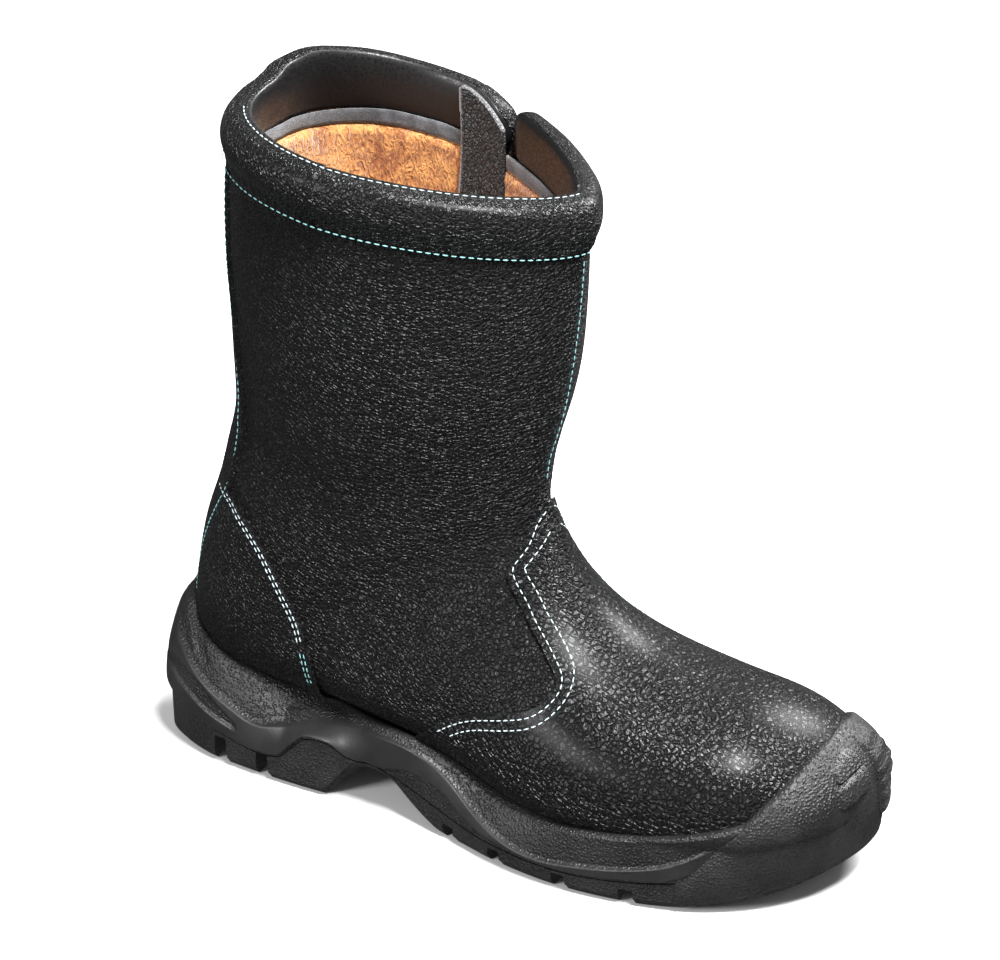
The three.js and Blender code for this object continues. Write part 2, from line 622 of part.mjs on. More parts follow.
// Midsole: the cup between tread and leather, with the smooth wave standing out of its side
function midsoleBlank(grow) {
  const foot = (place, row) => Math.max(row.low * heelSeat, splitZ(place, row) + bandFoot);
  const levels = [
    (place, row) => ({ z: splitZ(place, row) + gap - grow, out: -gap }),
    (place, row) => ({ z: foot(place, row), out: -gap }),
    (place, row) => ({ z: foot(place, row) + bandSlope, out: row.relief * bandRelief }),
    (place, row) => ({ z: row.high * heelSeat - bandSlope, out: row.relief * bandRelief }),
    (place, row) => ({ z: row.high * heelSeat + bandSlope / 2, out: 0 }),
    (place, row) => ({ z: row.rim * heelSeat + grow, out: 0 }),
  ];
  const places = placesRound();
  return loft(
    levels.map((level) =>
      places.map((place) => {
        const { z, out } = level(place, rowAt(sideRows, "around", place.around));
        return at(place, sideOut(place, z) + out + grow, z);
      }),
    ),
  );
}

function midsole(cavity) {
  let solid = midsoleBlank(0).subtract(cavity);
  for (const side of [outerSide, innerSide]) {
    for (const rows of [upperCrescentRows, lowerCrescentRows]) {
      solid = solid.subtract(sideBar(side, rows, bandRelief - crescentDepth, 3 * bandRelief));
    }
  }
  return solid;
}

// The toe guard's blank, before the leather and the midsole are taken out of it
function guardBlank() {
  const places = placesRound(guardRows[0].around);
  return loft(
    guardSectionRows.map((level) =>
      places.map((place) => {
        const row = rowAt(guardRows, "around", place.around);
        const bottom = treadZ(place.point.x) + treadInset;
        const z = bottom + level.up * (row.top * heelSeat - bottom);
        return at(place, sideOut(place, z) + level.out * row.out * guardThickness, z);
      }),
    ),
  );
}

// A bar along one side of the sole, from inside its surface to outside it
function sideBar(side, rows, inner, outer) {
  const rings = rows.map((row) => {
    const place = outlineAt(side, row.around);
    const corner = (out, share) => {
      const z = share * heelSeat;
      return at(place, sideOut(place, z) + out, z);
    };
    return [corner(inner, row.low), corner(outer, row.low), corner(outer, row.high), corner(inner, row.high)];
  });
  return loft(rings);
}

// One groove in the tread, wider at its mouth
function groove(x, y, length, turn) {
  const shape = new THREE.Shape();
  shape.moveTo(-grooveWidth / 2, -1);
  shape.lineTo(grooveWidth / 2, -1);
  shape.lineTo(grooveWidth / 4, treadDepth);
  shape.lineTo(-grooveWidth / 4, treadDepth);
  shape.closePath();
  const geometry = new THREE.ExtrudeGeometry(shape, { depth: length, bevelEnabled: false });
  geometry.translate(0, 0, -length / 2);
  geometry.rotateX(Math.PI / 2);
  geometry.rotateZ(THREE.MathUtils.degToRad(turn));
  geometry.translate(x, y, treadZ(x));
  return solidOfGeometry(geometry);
}

function outsole(cavity) {
  const places = placesRound();
  const rings = [
    places.map((place) => at(place, -treadInset, treadZ(place.point.x))),
    places.map((place) => at(place, -treadLean, treadZ(place.point.x) + treadCorner)),
    places.map((place) => {
      const row = rowAt(sideRows, "around", place.around);
      return at(place, 0, splitZ(place, row));
    }),
  ];
  let solid = loft(rings);
  for (const row of grooveRows) {
    const x = row.along * soleLength;
    for (const side of [outerSide, innerSide]) {
      const edge = side.points.reduce((best, p) => (Math.abs(p.x - x) < Math.abs(best.x - x) ? p : best));
      const sign = side === outerSide ? 1 : -1;
      const y = edge.y + sign * (lugInside - 0.5) * lugLength;
      solid = solid.subtract(groove(x, y, lugLength, sign * row.turn));
    }
  }
  for (const row of channelRows) {
    const from = new THREE.Vector2(row.from * soleLength, row.fromY * ballWidth);
    const to = new THREE.Vector2(row.to * soleLength, row.toY * ballWidth);
    const middle = from.clone().lerp(to, 0.5);
    const turn = THREE.MathUtils.radToDeg(to.clone().sub(from).angle()) - 90;
    solid = solid.subtract(groove(middle.x, middle.y, from.distanceTo(to), turn));
  }
  const raised = guardThickness + guardStep;
  const guard = guardBlank()
    .add(sideBar(outerSide, upperPadRows, 0, raised))
    .add(sideBar(outerSide, lowerPadRows, 0, raised))
    .add(sideBar(innerSide, toeBarRows, 0, raised));
  return solid.add(guard.subtract(cavity)).subtract(midsoleBlank(gap));
}

// Collar: a roll in the shape of an upside-down U over the shaft's edge
function collar() {
  const outer = collarRows.map((row) => {
    const grow = row.out > 0 ? gap + row.out * collarOut : -wall - gap + row.out * collarIn;
    return { grow, down: row.down * collarHeight };
  });
  const seat = [
    { grow: -wall - gap, down: collarHeight },
    { grow: -wall - gap, down: collarCover - gap },
    { grow: gap, down: collarCover - gap },
    { grow: gap, down: collarHeight },
  ];
  const ring = loft(
    [...outer, ...seat].map(({ grow, down }) => upperRing(sectionBelowTop(down), grow)),
    true,
  );
  const slit = new THREE.BoxGeometry(slitWidth, shaftWidth, 3 * collarHeight);
  slit.translate(slitPlace, shaftWidth / 2, bootHeight - collarHeight);
  return ring.subtract(solidOfGeometry(slit));
}

// What is left open under the foot, inside the leather that is turned in
function underfoot() {
  const places = placesRound();
  const inset = -rimWall - overlay - lastingMargin;
  return loft([
    places.map((place) => at(place, inset, seatZ(place.point.x) - 3 * wall)),
    places.map((place) => at(place, inset, seatZ(place.point.x) + 3 * wall)),
  ]);
}

function upper() {
  return upperForm(0).subtract(upperForm(-wall, shaftTop, 2 * wall)).subtract(underfoot());
}

// A prism across the boot, from an outline seen from the side or from behind
function prism(points, depth) {
  const geometry = new THREE.ExtrudeGeometry(new THREE.Shape(points), { depth, bevelEnabled: false });
  geometry.translate(0, 0, -depth / 2);
  geometry.rotateX(Math.PI / 2);
  return geometry;
}

function edgeCurve(rows) {
  const points = rows.map((row) => new THREE.Vector2(row.x * soleLength, row.z * instepHeight));
  return new THREE.SplineCurve(points).getPoints(Math.round(edgeSteps * rows.length));
}

// What lies in front of the vamp's edge, behind the counter's edge, and inside the back strip's edges
function vampRegion(grow) {
  const edge = edgeCurve(vampEdgeRows).map((p) => new THREE.Vector2(p.x - grow, p.y));
  const far = 1.2 * soleLength;
  const corners = [new THREE.Vector2(far, -ballSeat), new THREE.Vector2(far, edge[0].y)];
  return solidOfGeometry(prism([...edge, ...corners], 2 * shaftWidth));
}

function counterRegion(grow) {
  const edge = edgeCurve(counterEdgeRows).map((p) => new THREE.Vector2(p.x + grow, p.y));
  const corners = [new THREE.Vector2(-heelRest, 0), new THREE.Vector2(-heelRest, edge[0].y)];
  return solidOfGeometry(prism([...edge, ...corners], 2 * shaftWidth));
}

function backStripRegion(grow) {
  const side = backStripRows.map((row) => [row.half * shaftWidth + grow, levelZ(row.level)]);
  const points = [
    ...side.map(([half, z]) => new THREE.Vector2(half, z)),
    ...side.reverse().map(([half, z]) => new THREE.Vector2(-half, z)),
  ];
  const geometry = prism(points, 2 * heelRest + 0.4 * soleLength);
  geometry.rotateZ(Math.PI / 2);
  return solidOfGeometry(geometry);
}

// The layer that the pieces on top of the upper are cut from
function overlaySheet() {
  const top = sectionBelowTop(collarHeight + gap);
  return upperForm(gap + overlay, top).subtract(upperForm(gap)).subtract(underfoot());
}

// The inner strip's place: the leather's ring at a height, read at a distance from the heel end
function innerPoint(section, x, grow) {
  const ring = upperRing(section, grow);
  let i = sectionEdges / 2;
  while (i < sectionEdges - 2 && ring[i + 1].x < x) i++;
  const t = (x - ring[i].x) / (ring[i + 1].x - ring[i].x);
  return ring[i].clone().lerp(ring[i + 1], t);
}

function innerStrip() {
  const face = wall + gap + collarIn + gap;
  const across = [0, 1 / 3, 2 / 3, 1];
  return loft(
    stripRows.map((row) => {
      const section = sectionBelowTop(stripTop + row.down * stripLength);
      const ring = (grow, share) => innerPoint(section, slitPlace - (1 - share) * stripWidth, -grow);
      const near = face + row.in * stripHang;
      const out = across.map((share) => ring(near, share));
      const back = across.map((share) => ring(near + stripThickness, share)).reverse();
      return [...out, ...back];
    }),
  );
}

function insole() {
  const bottom = (x) => seatZ(x) + wall + gap;
  const layer = slab(bottom, (x) => bottom(x) + insoleThickness);
  return layer.intersect(upperForm(-wall - gap));
}

const vampCut = vampRegion(0);
const stripCut = backStripRegion(0);
const counterCut = counterRegion(0).subtract(backStripRegion(gap));
const vamp = overlaySheet().intersect(vampCut);
const backStrip = overlaySheet().intersect(stripCut);
const counters = overlaySheet().intersect(counterCut);

// The seat for the leather in the sole: the upper, and the pieces on top of it, each with its clearance
const seatForm = upperForm(overlay + 2 * gap);
const cavity = upperForm(gap)
  .add(seatForm.intersect(vampRegion(gap)))
  .add(seatForm.intersect(counterRegion(gap)))
  .add(seatForm.intersect(backStripRegion(gap)));

const boot = new THREE.Group();
const parts = new THREE.Group();
parts.position.x = -heelRest;
boot.add(parts);

function addPart(name, solid, color, roughness) {
  const material = new THREE.MeshStandardMaterial({ color, roughness, metalness: 0 });
  const mesh = new THREE.Mesh(geometryOf(solid), material);
  mesh.name = name;
  parts.add(mesh);
}

addPart("outsole", outsole(cavity), 0x1b1a1a, 0.8);
addPart("midsole", midsole(cavity), 0x232122, 0.7);
addPart("upper", upper(), 0x0d0d0e, 0.45);
addPart("vamp", vamp, 0x0d0d0e, 0.35);
addPart("back_strip", backStrip, 0x0c0c0d, 0.4);
addPart("counter_outer", counters.trimByPlane([0, -1, 0], 0), 0x0d0d0e, 0.45);
addPart("counter_inner", counters.trimByPlane([0, 1, 0], 0), 0x0d0d0e, 0.45);
addPart("collar", collar(), 0x0e0e10, 0.4);
addPart("inner_strip", innerStrip(), 0x2a2a2e, 0.5);
addPart("insole", insole(), 0x9a5a2a, 0.95);

export default boot;
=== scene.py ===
# Dresses the pull-on safety boot: leather, padding, pile lining, threads and moulded sole.
# Lengths are in millimetres from the heel end, as in the part's source, until inFrame moves them to the frame.
import math
import bpy
import bmesh
import numpy as np
from mathutils import Matrix, Vector
from mathutils.bvhtree import BVHTree


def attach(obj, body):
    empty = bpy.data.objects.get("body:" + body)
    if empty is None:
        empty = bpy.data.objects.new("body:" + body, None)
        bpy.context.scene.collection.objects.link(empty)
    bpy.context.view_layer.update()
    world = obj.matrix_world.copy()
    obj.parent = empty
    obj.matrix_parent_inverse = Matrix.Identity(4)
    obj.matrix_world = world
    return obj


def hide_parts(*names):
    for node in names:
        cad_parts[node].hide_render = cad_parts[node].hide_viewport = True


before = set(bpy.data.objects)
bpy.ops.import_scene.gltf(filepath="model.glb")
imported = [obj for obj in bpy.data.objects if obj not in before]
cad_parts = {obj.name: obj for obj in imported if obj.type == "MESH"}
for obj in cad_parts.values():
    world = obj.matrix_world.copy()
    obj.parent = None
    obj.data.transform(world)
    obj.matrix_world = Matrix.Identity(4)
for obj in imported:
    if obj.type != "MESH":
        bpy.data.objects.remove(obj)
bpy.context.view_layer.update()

# The part's sizes and tables, the same as in its source
boot = dict(
    soleLength=306, ballWidth=111, heelWidth=82, shaftWidth=114, bootHeight=284, instepHeight=131,
    heelRest=44, heelSeat=34, ballSeat=19, archRise=17, toeSpring=13.5, treadInset=2, treadLeast=3.4,
    treadDepth=5, grooveWidth=6, lugLength=30, lugInside=0.9, rimWall=3, bandRelief=2,
    guardThickness=2.6, crescentDepth=1.2, wall=2.2, overlay=1.4, gap=0.3, collarHeight=22, collarIn=5.6,
    collarCover=11, slitWidth=3.5,
    stripWidth=25, stripThickness=1.8, stripLength=95, stripTop=3, stripHang=4, slitPlace=132,
)
# along, heel, ball
outlineRows = np.array([
    [0.0, 0.0, 0.0], [0.008, -0.425, 0.0], [0.035, -0.77, 0.0], [0.1, -1.0, 0.0], [0.18, -1.07, 0.0],
    [0.28, -1.08, 0.0], [0.38, -0.62, -0.3], [0.48, -0.2, -0.67], [0.58, 0.0, -0.945], [0.67, 0.0, -0.99],
    [0.76, 0.0, -0.935], [0.85, 0.0, -0.795], [0.92, 0.0, -0.565], [0.97, 0.0, -0.27], [0.995, 0.0, 0.05],
    [1.0, 0.0, 0.245], [0.995, 0.0, 0.455], [0.975, 0.0, 0.66], [0.93, 0.0, 0.835], [0.87, 0.0, 0.94],
    [0.8, 0.0, 0.985], [0.72, 0.0, 0.98], [0.62, 0.0, 0.89], [0.5, 0.25, 0.565], [0.4, 0.6, 0.24],
    [0.3, 0.94, 0.0], [0.2, 0.955, 0.0], [0.12, 0.94, 0.0], [0.05, 0.77, 0.0], [0.012, 0.4, 0.0],
])
# along, arch, toe
treadRows = np.array([
    [0.0, 0.0, 0.0], [0.27, 0.0, 0.0], [0.303, 0.0, 0.0], [0.345, 0.84, 0.0], [0.37, 1.0, 0.0],
    [0.405, 0.86, 0.0], [0.44, 0.4, 0.0], [0.47, 0.08, 0.0], [0.49, 0.0, 0.0], [0.52, 0.0, 0.0],
    [0.78, 0.0, 0.0], [0.86, 0.0, 0.16], [0.93, 0.0, 0.46], [1.0, 0.0, 1.0],
])
# along, heel, ball
seatRows = np.array([
    [0.0, 1.0, 0.0], [0.3, 0.98, 0.0], [0.46, 0.56, 0.48], [0.62, 0.0, 1.03], [0.78, 0.0, 1.08],
    [0.9, 0.0, 1.35], [1.0, 0.0, 1.75],
])
# around, split, low, high, rim, relief
sideRows = np.array([
    [0.0, 0.76, 0.8, 1.72, 1.87, 1], [0.06, 0.73, 0.77, 1.56, 1.74, 1], [0.12, 0.58, 0.62, 1.24, 1.48, 1],
    [0.16, 0.47, 0.51, 1.02, 1.34, 1], [0.2, 0.38, 0.42, 0.84, 1.23, 1], [0.235, 0.32, 0.36, 0.72, 1.15, 1],
    [0.27, 0.37, 0.41, 0.78, 1.06, 1], [0.288, 0.56, 0.6, 0.84, 1.02, 1], [0.305, 0.71, 0.75, 0.92, 1.0, 1],
    [0.335, 0.71, 0.75, 0.95, 1.01, 1], [0.355, 0.6, 0.64, 0.99, 1.04, 1], [0.4, 0.56, 0.61, 1.04, 1.09, 1],
    [0.44, 0.46, 0.7, 1.02, 1.07, 1], [0.48, 0.34, 0.62, 0.86, 0.94, 1], [0.525, 0.27, 0.4, 0.6, 0.8, 1],
    [0.577, 0.24, 0.3, 0.4, 0.73, 1], [0.62, 0.23, 0.26, 0.35, 0.73, 0.8],
    [0.66, 0.24, 0.27, 0.4, 0.77, 0.8], [0.71, 0.28, 0.32, 0.48, 0.84, 0.8],
    [0.76, 0.35, 0.39, 0.62, 0.94, 0.8], [0.8, 0.43, 0.6, 0.83, 1.05, 0.5],
    [0.84, 0.5, 0.88, 1.06, 1.17, 0.1], [0.9, 0.56, 1.08, 1.22, 1.3, 0.0], [1.0, 0.7, 1.2, 1.32, 1.38, 0.0],
])
# around, top, out
guardRows = np.array([
    [0.77, 0.44, 0.2], [0.79, 0.64, 0.7], [0.812, 0.88, 1], [0.842, 1.2, 1], [0.872, 1.44, 1],
    [0.905, 1.6, 0.9], [0.95, 1.69, 0.7], [1.0, 1.71, 0.6],
])
# up, out
guardSectionRows = np.array([
    [0.0, -0.2], [0.3, 0.7], [0.55, 1.0], [0.8, 0.8], [1.0, 0.2],
])
# section, frontX, frontZ, backX, backZ, seat, heel, ball, shaft, shift, ridge, widest, front, back
upperRows = np.array([
    [0, 0.976, 0.3, 0.976, 0, 1, 0, 0.1, 0, 0.11, 0, 0.5, 2.0, 2.0],
    [1, 0.971, 0.35, 0.972, 0, 1, 0, 0.3, 0, 0.1, 0, 0.56, 2.0, 2.3],
    [2, 0.952, 0.41, 0.96, 0, 1, 0, 0.47, 0, 0.088, 0, 0.6, 2.0, 2.6],
    [3, 0.914, 0.47, 0.932, 0, 1, 0, 0.62, 0, 0.068, 0, 0.64, 2.05, 2.8],
    [4, 0.862, 0.515, 0.885, 0, 1, 0, 0.755, 0, 0.036, 0.005, 0.66, 2.1, 2.9],
    [5, 0.782, 0.55, 0.8, 0, 1, 0, 0.85, 0, 0.01, 0.015, 0.68, 2.0, 3],
    [6, 0.7, 0.605, 0.7, 0, 1, 0, 0.885, 0, -0.01, 0.025, 0.7, 1.9, 3],
    [7, 0.64, 0.69, 0.59, 0, 1, 0, 0.83, 0, -0.022, 0.03, 0.7, 1.8, 3],
    [8, 0.6, 0.79, 0.48, 0, 1, 0.34, 0.47, 0, -0.022, 0.03, 0.69, 1.8, 3],
    [9, 0.576, 0.876, 0.36, 0, 1, 0.88, 0.06, 0, -0.02, 0.03, 0.67, 1.8, 3],
    [10, 0.563, 0.945, 0.24, 0, 1, 0.91, 0, 0, -0.018, 0.03, 0.64, 1.85, 2.9],
    [11, 0.559, 0.99, 0.14, 0, 1, 0.91, 0, 0, -0.018, 0.025, 0.6, 1.85, 2.6],
    [12, 0.559, 1.02, 0.07, 0.01, 1, 0.89, 0, 0.02, -0.017, 0.02, 0.56, 1.85, 2.35],
    [13, 0.5605, 1.05, 0.042, 0.13, 1, 0.8, 0, 0.12, -0.015, 0.015, 0.54, 1.85, 2.2],
    [14, 0.563, 1.085, 0.047, 0.435, 0.5, 0.52, 0, 0.34, -0.012, 0.01, 0.53, 1.85, 2.1],
    [15, 0.567, 1.13, 0.065, 0.74, 0, 0.24, 0, 0.56, -0.009, 0.005, 0.52, 1.85, 2.1],
    [16, 0.575, 1.18, 0.094, 0.916, 0, 0, 0, 0.755, -0.006, 0, 0.52, 1.85, 2.1],
    [17, 0.588, 1.27, 0.127, 1.137, 0, 0, 0, 0.84, -0.003, 0, 0.53, 1.8, 2.15],
    [18, 0.599, 1.385, 0.138, 1.353, 0, 0, 0, 0.91, 0, 0, 0.54, 1.8, 2.2],
    [19, 0.61, 1.52, 0.142, 1.595, 0, 0, 0, 0.96, -0.01, 0, 0.55, 1.7, 2.25],
    [20, 0.62, 1.66, 0.154, 1.81, 0, 0, 0, 0.99, -0.02, -0.01, 0.56, 1.6, 2.3],
    [21, 0.628, 1.85, 0.173, 2.0, 0, 0, 0, 1.0, -0.028, -0.02, 0.57, 1.5, 2.35],
])
# x, z
vampEdgeRows = np.array([
    [0.64, 1.12], [0.572, 1.03], [0.555, 0.97], [0.551, 0.905], [0.541, 0.85], [0.547, 0.81],
    [0.566, 0.753], [0.584, 0.7], [0.616, 0.626], [0.635, 0.58], [0.634, 0.545], [0.615, 0.503],
    [0.58, 0.474], [0.534, 0.44], [0.502, 0.402], [0.462, 0.33], [0.43, 0.24], [0.42, 0.0],
])
# x, z
counterEdgeRows = np.array([
    [0.02, 0.95], [0.143, 0.915], [0.179, 0.876], [0.216, 0.805], [0.243, 0.714], [0.26, 0.634],
    [0.275, 0.53], [0.283, 0.4], [0.285, 0.28], [0.285, 0.0],
])
# level, half
backStripRows = np.array([
    [0.0, 0.12], [0.45, 0.155], [0.57, 0.19], [0.7, 0.225], [0.87, 0.27], [1.15, 0.31], [1.6, 0.33],
    [2.1, 0.33],
])
# down, in
stripRows = np.array([
    [0.0, 0.0], [0.28, 0.1], [0.5, 0.7], [0.75, 1.0], [1.0, 1.0],
])
# along, turn
grooveRows = np.array([
    [0.045, 55], [0.13, 12], [0.205, 4], [0.515, -20], [0.59, -14], [0.682, -4], [0.765, 6], [0.832, 18],
    [0.9, 34],
])
# from, fromY, to, toY
channelRows = np.array([
    [0.06, -0.13, 0.26, -0.17], [0.06, 0.13, 0.26, 0.16], [0.5, -0.17, 0.87, -0.2], [0.5, 0.14, 0.87, 0.23],
])
# around, low, high
upperPadRows = np.array([
    [0.945, 1.45, 1.55], [0.965, 1.46, 1.6], [0.995, 1.47, 1.62],
])
# around, low, high
lowerPadRows = np.array([
    [0.94, 1.2, 1.41], [0.965, 1.21, 1.42], [0.995, 1.22, 1.43],
])
# around, low, high
toeBarRows = np.array([
    [0.985, 0.75, 1.66], [0.96, 0.75, 1.65], [0.935, 0.75, 1.62],
])
# around, low, high
upperCrescentRows = np.array([
    [0.092, 1.58, 1.66], [0.115, 1.44, 1.58], [0.135, 1.24, 1.44], [0.155, 1.14, 1.22],
])
# around, low, high
lowerCrescentRows = np.array([
    [0.07, 1.0, 1.08], [0.108, 0.92, 1.09], [0.144, 0.78, 1.0], [0.175, 0.66, 0.84], [0.21, 0.56, 0.62],
])
topSection = len(upperRows) - 1
toeRow = 15


# A smooth curve through a table's rows, read at values of its first column
def readRows(rows, at):
    at = np.asarray(at, float)
    i = np.searchsorted(rows[1:-1, 0], at)
    before, start = rows[np.maximum(i - 1, 0)], rows[i]
    end, after = rows[i + 1], rows[np.minimum(i + 2, len(rows) - 1)]
    span = end[..., :1] - start[..., :1]
    t = (at[..., None] - start[..., :1]) / span
    rise = end - start
    slopeStart = (end - before) / (end[..., :1] - before[..., :1]) * span
    slopeEnd = (after - start) / (after[..., :1] - start[..., :1]) * span
    bend, twist = 3 * rise - 2 * slopeStart - slopeEnd, slopeStart + slopeEnd - 2 * rise
    return start + t * (slopeStart + t * (bend + t * twist))


def smoothStep(low, high, value):
    t = np.clip((value - low) / (high - low), 0, 1)
    return t * t * (3 - 2 * t)


def seatZ(x):
    row = readRows(seatRows, np.clip(x / boot["soleLength"], 0, 1))
    return row[..., 1] * boot["heelSeat"] + row[..., 2] * boot["ballSeat"]


def treadZ(x):
    row = readRows(treadRows, np.clip(x / boot["soleLength"], 0, 1))
    return np.maximum(0, row[..., 1] * boot["archRise"] + row[..., 2] * boot["toeSpring"])


def levelZ(level):
    instep, top = boot["instepHeight"], boot["bootHeight"]
    return np.where(level < 1, level * instep, instep + (level - 1) * (top - instep))


# The last's surface: turn goes round each section from the front over the outer side to the back and on
def lastPoint(turn, section):
    angle = 2 * np.pi * (turn - 0.03 * np.sin(8 * np.pi * turn))
    row = readRows(upperRows, np.clip(section, 0, topSection))
    columns = np.moveaxis(row, -1, 0)[1:]
    frontX, frontZ, backX, backZ, seat, heel, ball, shaft, shift, ridge, widest, front, back = columns
    frontX, backX = frontX * boot["soleLength"], backX * boot["soleLength"]
    frontZ, backZ = levelZ(frontZ), levelZ(backZ) + seat * seatZ(backX)
    half = (heel * boot["heelWidth"] + ball * boot["ballWidth"] + shaft * boot["shaftWidth"]) / 2
    c, s = np.cos(angle), np.sin(angle)
    power = 2 / np.where(c >= 0, front, back)
    share = widest + np.abs(c) ** power * np.where(c >= 0, -widest, 1 - widest)
    side = -np.sign(s) * np.abs(s) ** power * half
    middle = shift * boot["ballWidth"]
    point = np.stack([frontX + share * (backX - frontX), side + middle + ridge * (1 - share) ** 2 * boot["ballWidth"],
                      frontZ + share * (backZ - frontZ)], -1)
    # below section 0 the toe end closes in a pole
    centre = np.stack([(frontX + backX) / 2, middle, (frontZ + backZ) / 2], -1)
    close = np.clip(-section, 0, 1)[..., None]
    return point + close * (centre - point) + (1.2, 0, 0) * np.sin(close * np.pi / 2)


def lastNormal(turn, section):
    around = lastPoint(turn + 0.004, section) - lastPoint(turn - 0.004, section)
    along = lastPoint(turn, np.minimum(section + 0.05, topSection)) - lastPoint(turn, np.maximum(section - 0.05, -1))
    normal = -np.cross(around, along)
    length = np.linalg.norm(normal, axis=-1, keepdims=True)
    return np.where(length > 1e-5, normal / np.maximum(length, 1e-5), (1, 0, 0))


def leatherAt(turn, section, grow):
    grow = np.asarray(grow, float)
    return lastPoint(turn, section) + lastNormal(turn, section) * grow[..., None]


sectionHeight = (boot["bootHeight"] - boot["instepHeight"]) * (upperRows[-1, 4] - upperRows[-2, 4])


def belowTop(down):
    return topSection - down / sectionHeight


# Pieces are made in mm; inFrame gives metres in the part's frame
def inFrame(points):
    return (np.asarray(points) - (boot["heelRest"], 0, 0)) / 1000


def finishPiece(name, mesh, material, replaces=(), smoothAngle=None):
    piece = bpy.data.objects.new(name, mesh)
    bpy.context.scene.collection.objects.link(piece)
    mesh.materials.clear()
    mesh.materials.append(material)
    mesh.shade_smooth()
    if smoothAngle:
        mesh.set_sharp_from_angle(angle=math.radians(smoothAngle))
    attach(piece, "root")
    if replaces:
        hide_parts(*replaces)
    return piece


# A grid laid over a surface that place gives for shares u and v; masks are stored for the materials
def layGrid(name, columns, rows, place, masks=None, closed=True, merge=0.00002):
    bm = bmesh.new()
    bmesh.ops.create_grid(bm, x_segments=columns, y_segments=rows, size=0.5)
    mesh = bpy.data.meshes.new(name)
    bm.to_mesh(mesh)
    bm.free()
    flat = np.empty(len(mesh.vertices) * 3)
    mesh.vertices.foreach_get("co", flat)
    u, v = (flat.reshape(-1, 3)[:, :2] + 0.5).T
    u, v = np.clip(u, 0, 1), np.clip(v, 0, 1)
    mesh.vertices.foreach_set("co", inFrame(place(u, v)).ravel())
    for key, mask in (masks or {}).items():
        layer = mesh.attributes.new(key, "FLOAT", "POINT")
        layer.data.foreach_set("value", np.asarray(mask(u, v), float).ravel())
    bm = bmesh.new()
    bm.from_mesh(mesh)
    bmesh.ops.remove_doubles(bm, verts=bm.verts, dist=merge)
    if closed:
        bmesh.ops.holes_fill(bm, edges=[edge for edge in bm.edges if edge.is_boundary])
    bmesh.ops.recalc_face_normals(bm, faces=bm.faces)
    bm.to_mesh(mesh)
    bm.free()
    return mesh


def treeOf(mesh):
    bm = bmesh.new()
    bm.from_mesh(mesh)
    tree = BVHTree.FromBMesh(bm)
    bm.free()
    return tree


def changeWith(mesh, cutter, operation):
    piece = bpy.data.objects.new("change", mesh)
    tool = bpy.data.objects.new("tool", cutter)
    bpy.context.scene.collection.objects.link(piece)
    bpy.context.scene.collection.objects.link(tool)
    step = piece.modifiers.new("cut", "BOOLEAN")
    step.operation, step.solver, step.object = operation, "MANIFOLD", tool
    bpy.context.view_layer.update()
    result = bpy.data.meshes.new_from_object(piece.evaluated_get(bpy.context.evaluated_depsgraph_get()))
    result.name = mesh.name
    for item in (piece, tool):
        bpy.data.objects.remove(item)
    return result


# ---- the camera comes first: solved from the photograph's outline
view = dict(azimuth=31.7, elevation=26.0, distance=1227.94, target=(150, 0, 130), focal=115.2,
            roll=0.72, shiftX=0.0015, shiftY=0.0136)
camera = bpy.data.cameras.new("camera")
camera.lens, camera.sensor_width, camera.sensor_fit = view["focal"], 36, "HORIZONTAL"
camera.shift_x, camera.shift_y = view["shiftX"], view["shiftY"]
camera.clip_start, camera.clip_end = 0.05, 20
cameraObject = bpy.data.objects.new("camera", camera)
bpy.context.scene.collection.objects.link(cameraObject)
azimuth, elevation = math.radians(view["azimuth"]), math.radians(view["elevation"])
level = math.cos(elevation)
back = Vector((math.sin(azimuth) * level, -math.cos(azimuth) * level, math.sin(elevation)))
target = Vector(inFrame(view["target"]))
cameraObject.matrix_world = (
    Matrix.Translation(target + back * view["distance"] / 1000)
    @ back.to_track_quat("Z", "Y").to_matrix().to_4x4()
    @ Matrix.Rotation(math.radians(-view["roll"]), 4, "Z")
)
bpy.context.scene.camera = cameraObject
print("camera placed")


# ---- materials
def newMaterial(name, color, roughness, **sockets):
    material = bpy.data.materials.new(name)
    material.use_nodes = True
    nodes, links = material.node_tree.nodes, material.node_tree.links
    shader = nodes["Principled BSDF"]
    shader.inputs["Base Color"].default_value = (*color, 1)
    shader.inputs["Roughness"].default_value = roughness
    for socket, value in sockets.items():
        shader.inputs[socket].default_value = value
    return material, nodes, links, shader


def newGroup(name, inputs, outputs):
    group = bpy.data.node_groups.new(name, "ShaderNodeTree")
    for socket, kind, default in inputs:
        made = group.interface.new_socket(socket, in_out="INPUT", socket_type=kind)
        if default is not None:
            made.default_value = default
    for socket, kind in outputs:
        group.interface.new_socket(socket, in_out="OUTPUT", socket_type=kind)
    return group, group.nodes.new("NodeGroupInput"), group.nodes.new("NodeGroupOutput")


def mathNode(tree, operation, a, b=None, clamp=False):
    node = tree.nodes.new("ShaderNodeMath")
    node.operation, node.use_clamp = operation, clamp
    for socket, value in zip(node.inputs, (a, b)):
        if value is None:
            continue
        if isinstance(value, (int, float)):
            socket.default_value = value
        else:
            tree.links.new(value, socket)
    return node.outputs[0]


def rangeNode(tree, value, low, high, toLow=0.0, toHigh=1.0):
    node = tree.nodes.new("ShaderNodeMapRange")
    node.interpolation_type = "SMOOTHSTEP"
    tree.links.new(value, node.inputs["Value"])
    for socket, number in zip(("From Min", "From Max", "To Min", "To Max"), (low, high, toLow, toHigh)):
        node.inputs[socket].default_value = number
    return node.outputs[0]


